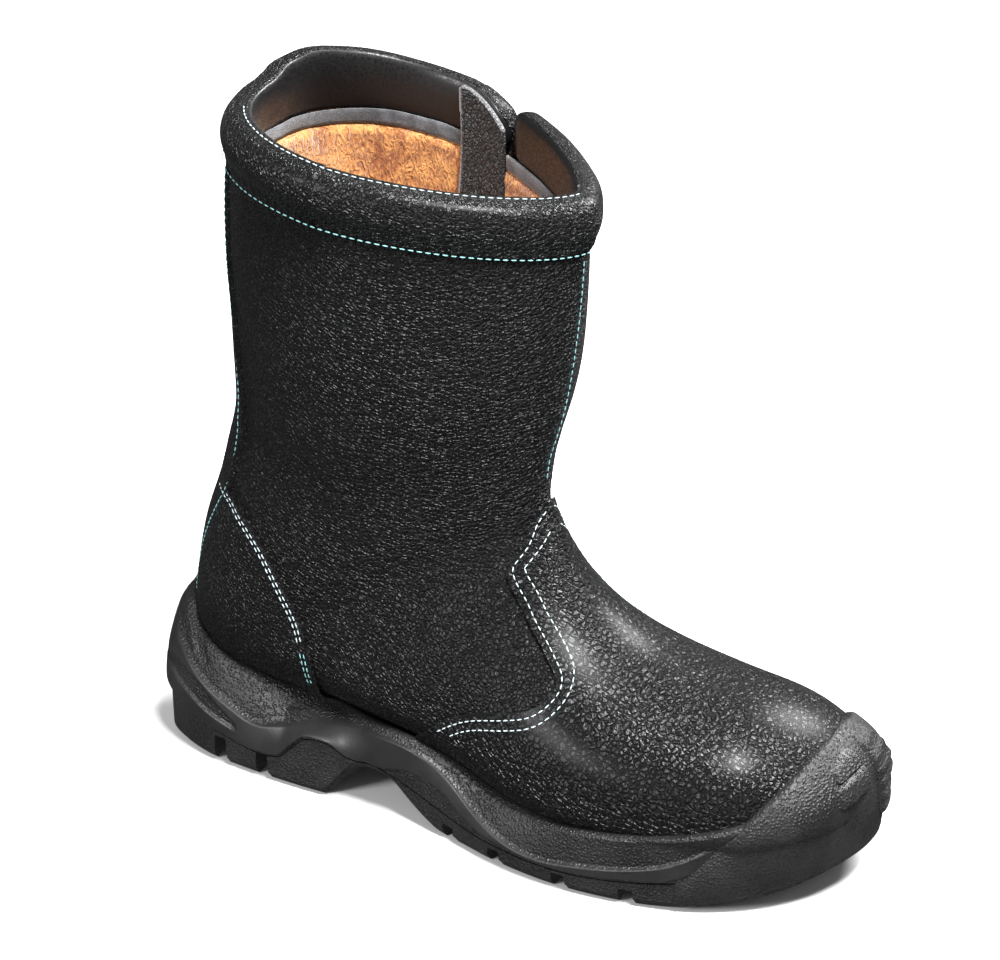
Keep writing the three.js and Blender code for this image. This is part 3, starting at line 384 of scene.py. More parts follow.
def textureNode(tree, kind, place, **values):
    node = tree.nodes.new("ShaderNodeTex" + kind)
    for socket, value in values.items():
        node.inputs[socket].default_value = value
    tree.links.new(place, node.inputs["Vector"])
    return node


def mixColors(tree, factor, first, second):
    mix = tree.nodes.new("ShaderNodeMix")
    mix.data_type = "RGBA"
    tree.links.new(factor, mix.inputs["Factor"])
    for socket, color in (("A", first), ("B", second)):
        if isinstance(color, bpy.types.NodeSocket):
            tree.links.new(color, mix.inputs[socket])
        else:
            mix.inputs[socket].default_value = (*color, 1)
    return mix.outputs["Result"]


def bumpInto(tree, shader, height, strength, distance):
    bump = tree.nodes.new("ShaderNodeBump")
    bump.inputs["Strength"].default_value = strength
    bump.inputs["Distance"].default_value = distance
    tree.links.new(height, bump.inputs["Height"])
    tree.links.new(bump.outputs["Normal"], shader.inputs["Normal"])


# Pebbled leather grain: cells of a size in mm with creases between them; the leather materials paint the creases
# darker, as painted shade
def makeGrainGroup():
    group, start, end = newGroup(
        "pebbledGrain",
        [("Cell", "NodeSocketFloat", 1.2), ("Depth", "NodeSocketFloat", 1.0)],
        [("Height", "NodeSocketFloat"), ("Crease", "NodeSocketFloat"), ("Patches", "NodeSocketFloat")],
    )
    place = group.nodes.new("ShaderNodeTexCoord").outputs["Object"]
    scale = mathNode(group, "DIVIDE", 1000, start.outputs["Cell"])
    wander = textureNode(group, "Noise", place, Scale=260, Detail=2)
    drift = group.nodes.new("ShaderNodeVectorMath")
    drift.operation = "SCALE"
    group.links.new(wander.outputs["Color"], drift.inputs[0])
    drift.inputs["Scale"].default_value = 0.0022
    moved = group.nodes.new("ShaderNodeVectorMath")
    group.links.new(place, moved.inputs[0])
    group.links.new(drift.outputs[0], moved.inputs[1])
    cells = group.nodes.new("ShaderNodeTexVoronoi")
    cells.feature = "DISTANCE_TO_EDGE"
    group.links.new(moved.outputs[0], cells.inputs["Vector"])
    group.links.new(scale, cells.inputs["Scale"])
    edge = rangeNode(group, cells.outputs["Distance"], 0.0, 0.22)
    rough = textureNode(group, "Noise", place, Detail=5)
    group.links.new(mathNode(group, "MULTIPLY", scale, 0.8), rough.inputs["Scale"])
    patches = textureNode(group, "Noise", place, Scale=28, Detail=3)
    height = mathNode(group, "ADD", mathNode(group, "MULTIPLY", edge, 0.7),
                      mathNode(group, "MULTIPLY", rough.outputs["Fac"], 0.6))
    group.links.new(mathNode(group, "MULTIPLY", height, start.outputs["Depth"]), end.inputs["Height"])
    group.links.new(edge, end.inputs["Crease"])
    group.links.new(patches.outputs["Fac"], end.inputs["Patches"])
    return group


grainGroup = makeGrainGroup()


def leatherMaterial(name, cell, depth, gloss, color=(0.0045, 0.0045, 0.005), coat=0.0, mask=None, maskColor=None):
    material, nodes, links, shader = newMaterial(name, color, gloss)
    tree = material.node_tree
    shader.inputs["Coat Weight"].default_value = coat
    shader.inputs["Coat Roughness"].default_value = 0.28
    shader.inputs["Specular IOR Level"].default_value = 0.4
    grain = nodes.new("ShaderNodeGroup")
    grain.node_tree = grainGroup
    grain.inputs["Cell"].default_value = cell
    height = grain.outputs["Height"]
    if mask:
        where = nodes.new("ShaderNodeAttribute")
        where.attribute_name = mask
        height = mathNode(tree, "MULTIPLY", height, mathNode(tree, "SUBTRACT", 1.0, where.outputs["Fac"]))
    bumpInto(tree, shader, height, depth, 0.0011 * cell)
    rough = nodes.new("ShaderNodeMapRange")
    links.new(grain.outputs["Crease"], rough.inputs["Value"])
    rough.inputs["To Min"].default_value = min(1, gloss + 0.25)
    rough.inputs["To Max"].default_value = gloss
    spread = nodes.new("ShaderNodeMath")
    spread.operation = "MULTIPLY_ADD"
    links.new(grain.outputs["Patches"], spread.inputs[0])
    spread.inputs[1].default_value = 0.16
    links.new(rough.outputs[0], spread.inputs[2])
    links.new(spread.outputs[0], shader.inputs["Roughness"])
    # painted shade: the base colour is darkened in the grain's creases and lightened on the cells' tops
    result = mixColors(tree, grain.outputs["Crease"], [0.35 * c for c in color], [1.15 * c for c in color])
    if maskColor:
        result = mixColors(tree, where.outputs["Fac"], result, maskColor)
    links.new(result, shader.inputs["Base Color"])
    return material


shaftLeather = leatherMaterial("shaftLeather", 1.7, 0.95, 0.27)
vampLeather = leatherMaterial("vampLeather", 2.2, 1.0, 0.21, coat=0.12)
collarLeather = leatherMaterial("collarLeather", 1.7, 0.95, 0.25, coat=0.1, mask="lining")
stripLeather = leatherMaterial("stripLeather", 1.5, 0.9, 0.35, color=(0.035, 0.036, 0.04), mask="raw",
                               maskColor=(0.3, 0.3, 0.31))


# Moulded rubber: fine stipple where the mask is 1, smooth where it is 0
def soleMaterial(name, color, roughness, useMask):
    material, nodes, links, shader = newMaterial(name, color, roughness)
    place = nodes.new("ShaderNodeTexCoord").outputs["Object"]
    tree = material.node_tree
    dots = textureNode(tree, "Voronoi", place, Scale=800, Randomness=0.8)
    grit = textureNode(tree, "Noise", place, Scale=900, Detail=3)
    height = mathNode(tree, "ADD", rangeNode(tree, dots.outputs["Distance"], 0.1, 0.6, 1.0, 0.0),
                      mathNode(tree, "MULTIPLY", grit.outputs["Fac"], 0.8))
    if useMask:
        mask = nodes.new("ShaderNodeAttribute")
        mask.attribute_name = "stipple"
        share = mathNode(tree, "ADD", mathNode(tree, "MULTIPLY", mask.outputs["Fac"], 0.94), 0.06)
        height = mathNode(tree, "MULTIPLY", height, share)
    bumpInto(tree, shader, height, 0.8, 0.0004)
    dust = textureNode(tree, "Noise", place, Scale=45, Detail=6)
    result = mixColors(tree, rangeNode(tree, dust.outputs["Fac"], 0.3, 0.75),
                       [0.8 * c for c in color], [1.3 * c for c in color])
    links.new(result, shader.inputs["Base Color"])
    worn = rangeNode(tree, dust.outputs["Fac"], 0.3, 0.8, roughness - 0.06, roughness + 0.1)
    links.new(worn, shader.inputs["Roughness"])
    return material


outsoleRubber = soleMaterial("outsoleRubber", (0.0125, 0.012, 0.0125), 0.5, False)
midsoleRubber = soleMaterial("midsoleRubber", (0.0125, 0.0118, 0.0123), 0.42, True)
whiteThread = newMaterial("whiteThread", (0.5, 0.6, 0.62), 0.7)[0]
tealThread = newMaterial("tealThread", (0.2, 0.42, 0.42), 0.6)[0]
print("materials made")

# ---- the leather's reference surface, for everything that lies on it
def formPlace(u, v):
    return leatherAt(u, v * (topSection + 1) - 1, np.full(u.shape, boot["overlay"] + 2 * boot["gap"]))


formTree = treeOf(layGrid("fullForm", 220, 200, formPlace))


# ---- upper: shaft and quarters, a hollow shell up to under the collar
upperPiece = dict(round=230, along=210, inner=40)


def foldDepth(points):
    # Soft troughs and swells, listed one by one: x, z, turn in degrees, length, width, depth, side
    depth = np.zeros(len(points))
    for x, z, turn, length, width, depthHere, side in folds:
        c, s = math.cos(math.radians(turn)), math.sin(math.radians(turn))
        dx, dz = points[:, 0] - x, points[:, 2] - z
        along, across = dx * c + dz * s, -dx * s + dz * c
        near = np.exp(-((along / length) ** 2) - (across / width) ** 2)
        if side:
            near = near * (points[:, 1] * side > -5)
        depth += depthHere * near
    return depth


folds = [
    (150, 148, 28, 34, 7, -0.8, 0), (132, 132, 35, 38, 8, 0.7, 0), (158, 165, 10, 26, 8, -0.5, 0),
    (60, 150, -20, 40, 11, -0.6, 0), (52, 128, -28, 36, 10, 0.5, 0), (100, 190, 5, 60, 18, 0.6, 0),
    (90, 225, 80, 55, 16, -0.5, 0), (120, 95, 40, 40, 12, 0.4, 0),
]


def upperPlace(u, v):
    section = np.where(v < 0.8, v / 0.8, (1 - v) / 0.2) * (belowTop(boot["collarCover"]) + 1) - 1
    base = leatherAt(u, section, np.zeros(u.shape))
    grow = np.where(v < 0.8, foldDepth(base), -boot["wall"])
    return leatherAt(u, section, grow)


upperMesh = layGrid("upperLeather", upperPiece["round"], upperPiece["along"], upperPlace)
upper = finishPiece("upperLeather", upperMesh, shaftLeather, ["upper"], 50)
print("upper", len(upperMesh.polygons))


# ---- the layer on top of it, and the regions that vamp, counters and back strip are cut from
def overlayShell(name, low, high, round, along, lift=0.0):
    def place(u, v):
        closing = (v > 0.999) & (low > -1)
        out = (v < 0.7) | closing
        section = low + np.where(closing, 0, np.where(out, v / 0.7, (1 - v) / 0.3)) * (high - low)
        base = leatherAt(u, section, np.zeros(u.shape))
        grow = boot["gap"] + foldDepth(base) + np.where(out, boot["overlay"] + lift, -0.4)
        return leatherAt(u, section, grow)
    return layGrid(name, round, along, place)


def regionPrism(outline, across, sideways=False):
    bm = bmesh.new()
    flat = [(y, -1.0, z) if sideways else (y, -across, z) for y, z in outline]
    verts = [bm.verts.new(co) for co in flat]
    face = bm.faces.new(verts)
    made = bmesh.ops.extrude_face_region(bm, geom=[face])["geom"]
    moved = [item for item in made if isinstance(item, bmesh.types.BMVert)]
    bmesh.ops.translate(bm, verts=moved, vec=(0, 2 * across, 0))
    if sideways:
        bmesh.ops.rotate(bm, verts=bm.verts, matrix=Matrix.Rotation(math.radians(90), 3, "Z"))
        bmesh.ops.translate(bm, verts=bm.verts, vec=(2 * across - 100, 0, 0))
    bmesh.ops.triangulate(bm, faces=bm.faces)
    bmesh.ops.translate(bm, verts=bm.verts, vec=(-boot["heelRest"], 0, 0))
    bmesh.ops.scale(bm, verts=bm.verts, vec=(0.001, 0.001, 0.001))
    bmesh.ops.recalc_face_normals(bm, faces=bm.faces)
    mesh = bpy.data.meshes.new("region")
    bm.to_mesh(mesh)
    bm.free()
    return mesh


# A uniform curve through points
def smoothLine(points, count):
    points = np.asarray(points, float)
    t = np.linspace(0, len(points) - 1, count)
    i = np.minimum(t.astype(int), len(points) - 2)
    w = (t - i)[:, None]
    p0, p1 = points[np.maximum(i - 1, 0)], points[i]
    p2, p3 = points[i + 1], points[np.minimum(i + 2, len(points) - 1)]
    v0, v1 = (p2 - p0) / 2, (p3 - p1) / 2
    return (2 * p1 - 2 * p2 + v0 + v1) * w ** 3 + (-3 * p1 + 3 * p2 - 2 * v0 - v1) * w ** 2 + v0 * w + p1


# The part's edges, drawn as in its source with eight steps between two rows
def edgeLine(rows):
    return smoothLine(rows * (boot["soleLength"], boot["instepHeight"]), 8 * (len(rows) - 1) + 1)


vampLine = edgeLine(vampEdgeRows)
counterLine = edgeLine(counterEdgeRows)
far = 1.2 * boot["soleLength"]
vampRegion = [*vampLine, (far, -boot["ballSeat"]), (far, vampLine[0][1])]
counterRegion = [*counterLine, (-boot["heelRest"], 0), (-boot["heelRest"], counterLine[0][1])]
levels = np.linspace(0, 2.1, 60)
stripHalf = readRows(backStripRows, levels)[:, 1] * boot["shaftWidth"]
stripRegion = [*zip(stripHalf, levelZ(levels)), *zip(-stripHalf[::-1], levelZ(levels)[::-1])]

vampShell = overlayShell("vampLeather", -1, 14, 220, 130)
vampMesh = changeWith(vampShell, regionPrism(vampRegion, 120), "INTERSECT")
vamp = finishPiece("vampLeather", vampMesh, vampLeather, ["vamp"], 45)
print("vamp", len(vampMesh.polygons))

counterShell = overlayShell("counterLeather", 6.5, 16.6, 220, 110)
counterMesh = changeWith(counterShell, regionPrism(counterRegion, 120), "INTERSECT")
wider = [(half + math.copysign(boot["gap"], half), z) for half, z in stripRegion]
counterMesh = changeWith(counterMesh, regionPrism(wider, 100, True), "DIFFERENCE")
counterNodes = ["counter_outer", "counter_inner"]
counter = finishPiece("counterLeather", counterMesh, shaftLeather, counterNodes, 45)
stripTopSection = belowTop(boot["collarHeight"] - 3)
backShell = overlayShell("backStrip", 8.5, stripTopSection, 220, 110)
backMesh = changeWith(backShell, regionPrism(stripRegion, 100, True), "INTERSECT")
backStrip = finishPiece("backStrip", backMesh, shaftLeather, ["back_strip"], 45)
print("counter and back strip", len(counterMesh.polygons), len(backMesh.polygons))


# ---- collar: a padded roll, open on the inner side where its ends meet
def turnAtX(x, section, inner=True):
    turns = np.linspace(0.5, 1, 200) if inner else np.linspace(0.5, 0, 200)
    return float(np.interp(x, lastPoint(turns, np.full(200, section))[:, 0], turns))


collarPiece = dict(round=420, profile=64, endLength=0.012, flapDrop=9.0, corner=0.58, cornerWidth=0.075,
                   cornerOut=2.5, cornerLift=4.2)
slitNear, slitFar = boot["slitPlace"] - boot["stripWidth"], boot["slitPlace"] + boot["slitWidth"] / 2
slitStart = turnAtX(slitFar, topSection) - 1
slitEnd = turnAtX(boot["slitPlace"] - boot["slitWidth"] / 2, topSection)
# The roll from its lower edge outside, over the mouth's edge, to its lower edge inside: grown out, down
rollRows = [
    (0.6, 21.8), (1.6, 20.4), (2.5, 17), (4.2, 12.5), (4.6, 8.5), (3.6, 4.2), (1.2, 1.5), (-2, 0.4),
    (-5, 0.1), (-6.4, 0.9), (-7.4, 4), (-8, 10), (-7.4, 18.5), (-4, 21.8),
]
profileLine = smoothLine(rollRows, 80)


def flapFall(x):  # how far the collar's end and the strip drop towards the slit on the inner side
    return collarPiece["flapDrop"] * np.clip((x - slitNear) / boot["stripWidth"], 0, 1.2) ** 2.2


def softWave(turn, seed, count=9):
    parts = np.random.default_rng(seed)
    wave = 0
    for k in range(1, count + 1):
        wave = wave + parts.normal() * np.sin(2 * np.pi * (k * turn * 3 + parts.random())) / count ** 0.5
    return wave


def collarPlace(u, v):
    turn = slitStart + u * (slitEnd - slitStart)
    v = np.where(v > 0.999, 0, v)
    at = np.where(v < 0.86, v / 0.86, (1 - v) / 0.14) * 79
    grow, down = (np.interp(at, np.arange(80), profileLine[:, k]) for k in (0, 1))
    inside = v >= 0.86
    grow = np.where(inside, -boot["wall"] / 2, grow)
    down = np.where(inside, boot["collarHeight"] * 0.97, down)
    ends = np.minimum(np.clip(u / collarPiece["endLength"], 0, 1), np.clip((1 - u) / collarPiece["endLength"], 0, 1))
    full = np.sqrt(1 - (1 - ends) ** 2) * 0.97 + 0.03
    grow = -1.5 + (grow + 1.5) * full * (1 + 0.03 * softWave(turn, 3) * (grow > 0))
    down = 11 + (down - 11) * full + 0.25 * softWave(turn, 5)
    near = lastPoint(turn, np.full(turn.shape, float(topSection)))
    fall = flapFall(near[:, 0]) * ((turn > 0.5) & (near[:, 0] < boot["slitPlace"]))
    down = down + fall * (1 - down / boot["collarHeight"])
    # the mouth's far back corner stands up
    corner = np.exp(-(((turn - collarPiece["corner"]) / collarPiece["cornerWidth"]) ** 2))
    above = 1 - down / boot["collarHeight"]
    grow = grow + collarPiece["cornerOut"] * corner * above
    puckers = np.exp(-((down - 19) / 3.5) ** 2) * (grow > 0) * 0.35 * np.sin(2 * np.pi * turn * 118)
    lift = (corner * above)[:, None] * (0, 0, collarPiece["cornerLift"])
    return leatherAt(turn, belowTop(down), grow + puckers) + lift


def liningMask(u, v):
    crest = np.argmin(profileLine[:, 1])
    return smoothStep(crest + 1, crest + 4, v / 0.86 * 79)


collarMesh = layGrid("collarRoll", collarPiece["round"], collarPiece["profile"], collarPlace, {"lining": liningMask})
collar = finishPiece("collarRoll", collarMesh, collarLeather, ["collar"])
print("collar", len(collarMesh.polygons))


# ---- lining: a grey felt strip under the collar, and the pile below it
liningPiece = dict(feltTop=19.0, feltWidth=6.0, pileTop=23.5, pileIn=6.5)


def feltPlace(u, v):
    turn = slitStart + u * (slitEnd - slitStart)
    corner = np.array([(-7.4, 0), (-8.0, 0), (-8.2, 0.5), (-8.0, 1), (-7.4, 1), (-7.4, 0)])
    at = v * 5
    grow, width = (np.interp(at, np.arange(6), corner[:, k]) for k in (0, 1))
    down = liningPiece["feltTop"] + width * liningPiece["feltWidth"] + 0.3 * softWave(turn, 8)
    return leatherAt(turn, belowTop(down), grow)


def pileNoise(points):
    waves = np.random.default_rng(11)
    value = np.zeros(len(points))
    for scale, height in ((0.09, 0.6), (0.22, 0.45), (0.55, 0.3), (1.2, 0.22)):
        for _ in range(5):
            direction = waves.normal(size=3)
            value += height * 0.45 * np.sin(points @ direction * scale + waves.random() * 6.3)
    return value


def pilePlace(u, v):
    out = v > 0.8
    section = np.where(out, (1 - v) / 0.2, v / 0.8) * (belowTop(liningPiece["pileTop"]) + 0.6) - 0.6
    base = lastPoint(u, section)
    grow = np.where(out, -boot["wall"] - 0.3, -boot["wall"] - liningPiece["pileIn"] + pileNoise(base))
    return leatherAt(u, section, grow)


def fabricMaterial(name, low, high, scale, distance, stretch=(1, 1, 1), contrast=(0.35, 0.68)):
    material, nodes, links, shader = newMaterial(name, high, 0.95)
    shader.inputs["Sheen Weight"].default_value = 0.5
    shader.inputs["Sheen Roughness"].default_value = 0.5
    place = nodes.new("ShaderNodeTexCoord").outputs["Object"]
    turnNode = nodes.new("ShaderNodeMapping")
    turnNode.inputs["Scale"].default_value = stretch
    links.new(place, turnNode.inputs["Vector"])
    tree = material.node_tree
    broad = textureNode(tree, "Noise", place, Scale=scale, Detail=4)
    fine = textureNode(tree, "Noise", turnNode.outputs[0], Scale=scale * 9, Detail=6, Distortion=1.5)
    both = mathNode(tree, "ADD", mathNode(tree, "MULTIPLY", broad.outputs["Fac"], 0.5),
                    mathNode(tree, "MULTIPLY", fine.outputs["Fac"], 0.5))
    links.new(mixColors(tree, rangeNode(tree, both, *contrast), low, high), shader.inputs["Base Color"])
    bumpInto(tree, shader, fine.outputs["Fac"], 1.0, distance)
    return material


pileFabric = fabricMaterial("pileFabric", (0.3, 0.09, 0.02), (0.78, 0.37, 0.11), 60, 0.0016,
                            (1, 1, 0.45), (0.38, 0.6))
feltFabric = fabricMaterial("feltFabric", (0.02, 0.021, 0.024), (0.13, 0.135, 0.15), 160, 0.0006)
feltMesh = layGrid("feltStrip", 360, 10, feltPlace)
felt = finishPiece("feltStrip", feltMesh, feltFabric)
pileMesh = layGrid("pileLining", 260, 240, pilePlace)
pile = finishPiece("pileLining", pileMesh, pileFabric, ["insole"])
print("lining", len(pileMesh.polygons))


# ---- inner strip: raw-edged leather that hangs behind the collar's opening
stripPiece = dict(across=40, down=120)


def stripPlace(u, v):
    x = boot["slitPlace"] - (1 - u) * boot["stripWidth"] + 0.5 * (v > 0.1) * np.sin(v * 9) * (u < 0.01)
    top = boot["stripTop"] - 2.2 + flapFall(x) + 1.2 * np.clip(1 - u / 0.08, 0, 1) ** 2
    down = top + v * (boot["stripTop"] + boot["stripLength"] - top)
    share = (down - boot["stripTop"]) / boot["stripLength"]
    hang = readRows(stripRows, np.clip(share, 0, 1))[:, 1]
    face = boot["wall"] + 2 * boot["gap"] + boot["collarIn"] + hang * boot["stripHang"]
    turn = np.array([turnAtX(xHere, belowTop(d)) for xHere, d in zip(x, down)])
    return leatherAt(turn, belowTop(down), -face)


def rawEdge(u, v):
    return np.maximum(smoothStep(0.06, 0.02, u), 0.5 * smoothStep(0.009, 0.004, v))


stripMesh = layGrid("innerStrip", stripPiece["across"], stripPiece["down"], stripPlace, {"raw": rawEdge}, False)
innerStrip = finishPiece("innerStrip", stripMesh, stripLeather, ["inner_strip"])
thick = innerStrip.modifiers.new("thickness", "SOLIDIFY")
thick.thickness, thick.offset = boot["stripThickness"] / 1000, 0
print("inner strip")


# ---- sole: outline as a loop from the heel end along the outer side to the toe and back
def closedCurve(points, steps):
    t = np.arange(steps + 1) / steps * len(points)
    i = t.astype(int) % len(points)
    w = (t - t.astype(int))[:, None]
    p0, p1, p2, p3 = (points[(i + k) % len(points)] for k in (-1, 0, 1, 2))
    d0, d1, d2 = (np.sqrt(np.linalg.norm(b - a, axis=1, keepdims=True)) for a, b in ((p0, p1), (p1, p2), (p2, p3)))
    m1 = ((p1 - p0) / d0 - (p2 - p0) / (d0 + d1) + (p2 - p1) / d1) * d1
    m2 = ((p2 - p1) / d1 - (p3 - p1) / (d1 + d2) + (p3 - p2) / d2) * d1
    return p1 + m1 * w + (3 * (p2 - p1) - 2 * m1 - m2) * w ** 2 + (2 * (p1 - p2) + m1 + m2) * w ** 3


halves = (outlineRows[:, 1] * boot["heelWidth"] + outlineRows[:, 2] * boot["ballWidth"]) / 2
fineLoop = closedCurve(np.stack([outlineRows[:, 0] * boot["soleLength"], halves], -1), 1200)
toeStep = round(toeRow / len(outlineRows) * 1200)
soleSides = []
for line in (fineLoop[:toeStep + 1], fineLoop[toeStep:][::-1]):
    lengths = np.concatenate([[0], np.cumsum(np.linalg.norm(np.diff(line, axis=0), axis=1))])
    soleSides.append((lengths / lengths[-1], line))


def outlinePoint(loop):  # loop 0 at the heel end, 0.5 at the toe end; also gives the share along the side
    loop = np.mod(loop, 1)
    around = 1 - np.abs(1 - 2 * loop)
    outer, inner = (np.stack([np.interp(around, share, line[:, k]) for k in (0, 1)], -1) for share, line in soleSides)
    return np.where((loop <= 0.5)[:, None], outer, inner), around


def outlinePlace(loop):
    point, around = outlinePoint(loop)
    tangent = outlinePoint(loop + 0.003)[0] - outlinePoint(loop - 0.003)[0]
    outward = np.stack([tangent[:, 1], -tangent[:, 0]], -1)
    return point, outward / np.linalg.norm(outward, axis=1, keepdims=True), around


def leatherInset(loop, z):  # how far in from the outline the leather lies; NaN where it isn't met
    point, outward, _ = outlinePlace(loop)
    starts = inFrame(np.column_stack([point + outward * 30, z]))
    inset = np.full(len(loop), np.nan)
    for i, start in enumerate(starts):
        hit = formTree.ray_cast(Vector(start), Vector((-outward[i, 0], -outward[i, 1], 0)), 0.11)
        if hit[0] is not None:
            inset[i] = hit[3] * 1000 - 30
    return inset


def sideOut(loop, z):
    places, back = np.unique(loop, return_inverse=True)
    row = readRows(sideRows, outlinePoint(places)[1])
    rimZ, lowZ = row[:, 4] * boot["heelSeat"], row[:, 1] * boot["heelSeat"]
    rimIn = leatherInset(places, rimZ)
    rimOut = np.where(np.isnan(rimIn), -boot["rimWall"], boot["rimWall"] - rimIn)
    rimZ, lowZ, rimOut = rimZ[back], lowZ[back], rimOut[back]
    t = np.clip((z - lowZ) / (rimZ - lowZ), 0, 1)
    leaning = np.minimum(rimOut, 0) * t * t
    hereIn = leatherInset(loop, z)
    lip = boot["rimWall"] * rimZ / np.maximum(z, rimZ)
    met = np.where(z > rimZ, lip - hereIn, np.maximum(leaning, boot["rimWall"] - hereIn))
    return np.where(np.isnan(hereIn), leaning, met)


def splitZ(loop):
    point, around = outlinePoint(loop)
    return np.maximum(readRows(sideRows, around)[:, 1] * boot["heelSeat"], treadZ(point[:, 0]) + boot["treadLeast"])


def bandInside(rows, around, z, soft):  # 1 inside a band between low and high, over the rows' stretch of the side
    rows = rows[np.argsort(rows[:, 0])]
    row = readRows(rows, np.clip(around, rows[0, 0], rows[-1, 0]))
    low, high = row[:, 1] * boot["heelSeat"], row[:, 2] * boot["heelSeat"]
    ends = np.minimum(around - rows[0, 0], rows[-1, 0] - around) * boot["soleLength"]
    return np.clip(np.minimum(np.minimum(z - low, high - z), ends) / soft + 0.5, 0, 1)


def sideRelief(loop, z):
    around = outlinePoint(loop)[1]
    row = readRows(sideRows, around)
    low = np.maximum(row[:, 2] * boot["heelSeat"], splitZ(loop) + 1)
    high = row[:, 3] * boot["heelSeat"]
    band = smoothStep(low - 0.2, low + 0.9, z) * smoothStep(high + 0.3, high - 1.1, z) * row[:, 5]
    upper, lower = (bandInside(rows, around, z, 1.0) for rows in (upperCrescentRows, lowerCrescentRows))
    crescents = np.maximum(upper, lower)
    return band * boot["bandRelief"] - crescents * boot["crescentDepth"], np.clip(1 - band * 1.2 + crescents, 0, 1)


midsolePiece = dict(round=640, levels=76, outside=0.8)


def midsoleZ(loop, v):
    row = readRows(sideRows, outlinePoint(loop)[1])
    low, high = splitZ(loop) + boot["gap"], row[:, 4] * boot["heelSeat"]
    t = np.clip(v / midsolePiece["outside"], 0, 1)
    return low + t * (high - low), high


def midsolePlace(u, v):
    v = np.where(v > 0.999, 0, v)
    point, outward, around = outlinePlace(u)
    z, rimZ = midsoleZ(u, v)
    lip = np.clip((v - midsolePiece["outside"]) / 0.1, 0, 1)
    inner = np.clip((v - midsolePiece["outside"] - 0.1) / 0.1, 0, 1)
    z = z + 0.5 * np.sin(lip * np.pi) - inner * 5
    out = sideOut(u, np.minimum(z, rimZ)) + sideRelief(u, z)[0] * (lip == 0)
    out = out - 0.7 * smoothStep(rimZ - 1.2, rimZ, z) * (lip == 0) - 0.7 * (lip > 0)
    inset = leatherInset(u, np.minimum(z, rimZ))
    inset = np.where(np.isnan(inset), boot["rimWall"] + 2, inset)
    out = out + lip * (-inset - 1.2 - out)
    bottom = v == 0
    out = np.where(bottom, out - boot["gap"], out)
    return np.column_stack([point + outward * out[:, None], z])


def midsoleStipple(u, v):
    return np.where(v < midsolePiece["outside"], sideRelief(u, midsoleZ(u, v)[0])[1], 0.6)


midsoleMesh = layGrid("midsoleCup", midsolePiece["round"], midsolePiece["levels"], midsolePlace,
                      {"stipple": midsoleStipple})
midsole = finishPiece("midsoleCup", midsoleMesh, midsoleRubber, ["midsole"], 50)
print("midsole", len(midsoleMesh.polygons))

outsolePiece = dict(round=520, levels=28, heelGap=12, foreGap=6.8)
outsoleEdge = np.array([(-3.4, 0), (-2.6, 0.1), (-2.1, 0.7), (-1.6, 1.5), (-0.4, 3.0), (0.0, 3.4)])


def outsolePlace(u, v):
    point, outward, around = outlinePlace(u)
    partner, partnerOut, _ = outlinePlace(1 - u)
    tread, split = treadZ(point[:, 0]), splitZ(u)
    split = split + np.clip((v - 0.75) / 0.25, 0, 1) * (splitZ(1 - u) - split) / 2
    step = np.clip((v - 0.2) / 0.45, 0, 1) * (len(outsoleEdge) - 1)
    offset, rise = (np.interp(step, np.arange(len(outsoleEdge)), outsoleEdge[:, k]) for k in (0, 1))
    up = np.clip((v - 0.65) / 0.1, 0, 1)
    z = tread + rise + up * (split - tread - rise)
    edge, across = point + outward * offset[:, None], partner + partnerOut * offset[:, None]
    middle = (edge + across) / 2
    inwards = np.maximum(np.clip(1 - v / 0.2, 0, 1), np.clip((v - 0.75) / 0.25, 0, 1))
    flat = edge + inwards[:, None] * (middle - edge)
    z = np.where(v < 0.2, treadZ(flat[:, 0]), z)
    return np.column_stack([flat, z])


def grooveCutter(x, y, length, turn, depth, narrow=0.4):
    bm = bmesh.new()
    bmesh.ops.create_cube(bm, size=1)
    for vert in bm.verts:
        vert.co.z = (vert.co.z + 0.5) * (depth + 1) - 1
        vert.co.x *= boot["grooveWidth"] * (1 - narrow if vert.co.z > 0 else 1.1)
        vert.co.y *= length
    bmesh.ops.rotate(bm, verts=bm.verts, matrix=Matrix.Rotation(math.radians(turn), 3, "Z"))
    bmesh.ops.translate(bm, verts=bm.verts, vec=(x - boot["heelRest"], y, float(treadZ(x))))
    bmesh.ops.scale(bm, verts=bm.verts, vec=(0.001, 0.001, 0.001))
    mesh = bpy.data.meshes.new("groove")
    bm.to_mesh(mesh)
    bm.free()
    return mesh


outsoleMesh = layGrid("outsoleTread", outsolePiece["round"], outsolePiece["levels"], outsolePlace)
for along, turn in grooveRows:
    x = along * boot["soleLength"]
    for sign, (_, line) in zip((1, -1), soleSides):
        y = line[np.argmin(np.abs(line[:, 0] - x)), 1]
        y += sign * (boot["lugInside"] - 0.5) * boot["lugLength"]
        depth = outsolePiece["heelGap" if along < 0.3 else "foreGap"]
        cutter = grooveCutter(x, y, boot["lugLength"], sign * turn, depth, 0.1)
        outsoleMesh = changeWith(outsoleMesh, cutter, "DIFFERENCE")
for start, startY, end, endY in channelRows:
    dx, dy = (end - start) * boot["soleLength"], (endY - startY) * boot["ballWidth"]
    cutter = grooveCutter((start + end) / 2 * boot["soleLength"], (startY + endY) / 2 * boot["ballWidth"],
                          math.hypot(dx, dy), math.degrees(math.atan2(dy, dx)) - 90, boot["treadDepth"])
    outsoleMesh = changeWith(outsoleMesh, cutter, "DIFFERENCE")
outsole = finishPiece("outsoleTread", outsoleMesh, outsoleRubber, ["outsole"], 40)
print("outsole", len(outsoleMesh.polygons))

guardPiece = dict(round=260, levels=90, padLift=1.7, ribPitch=5.2, ribDepth=0.35)


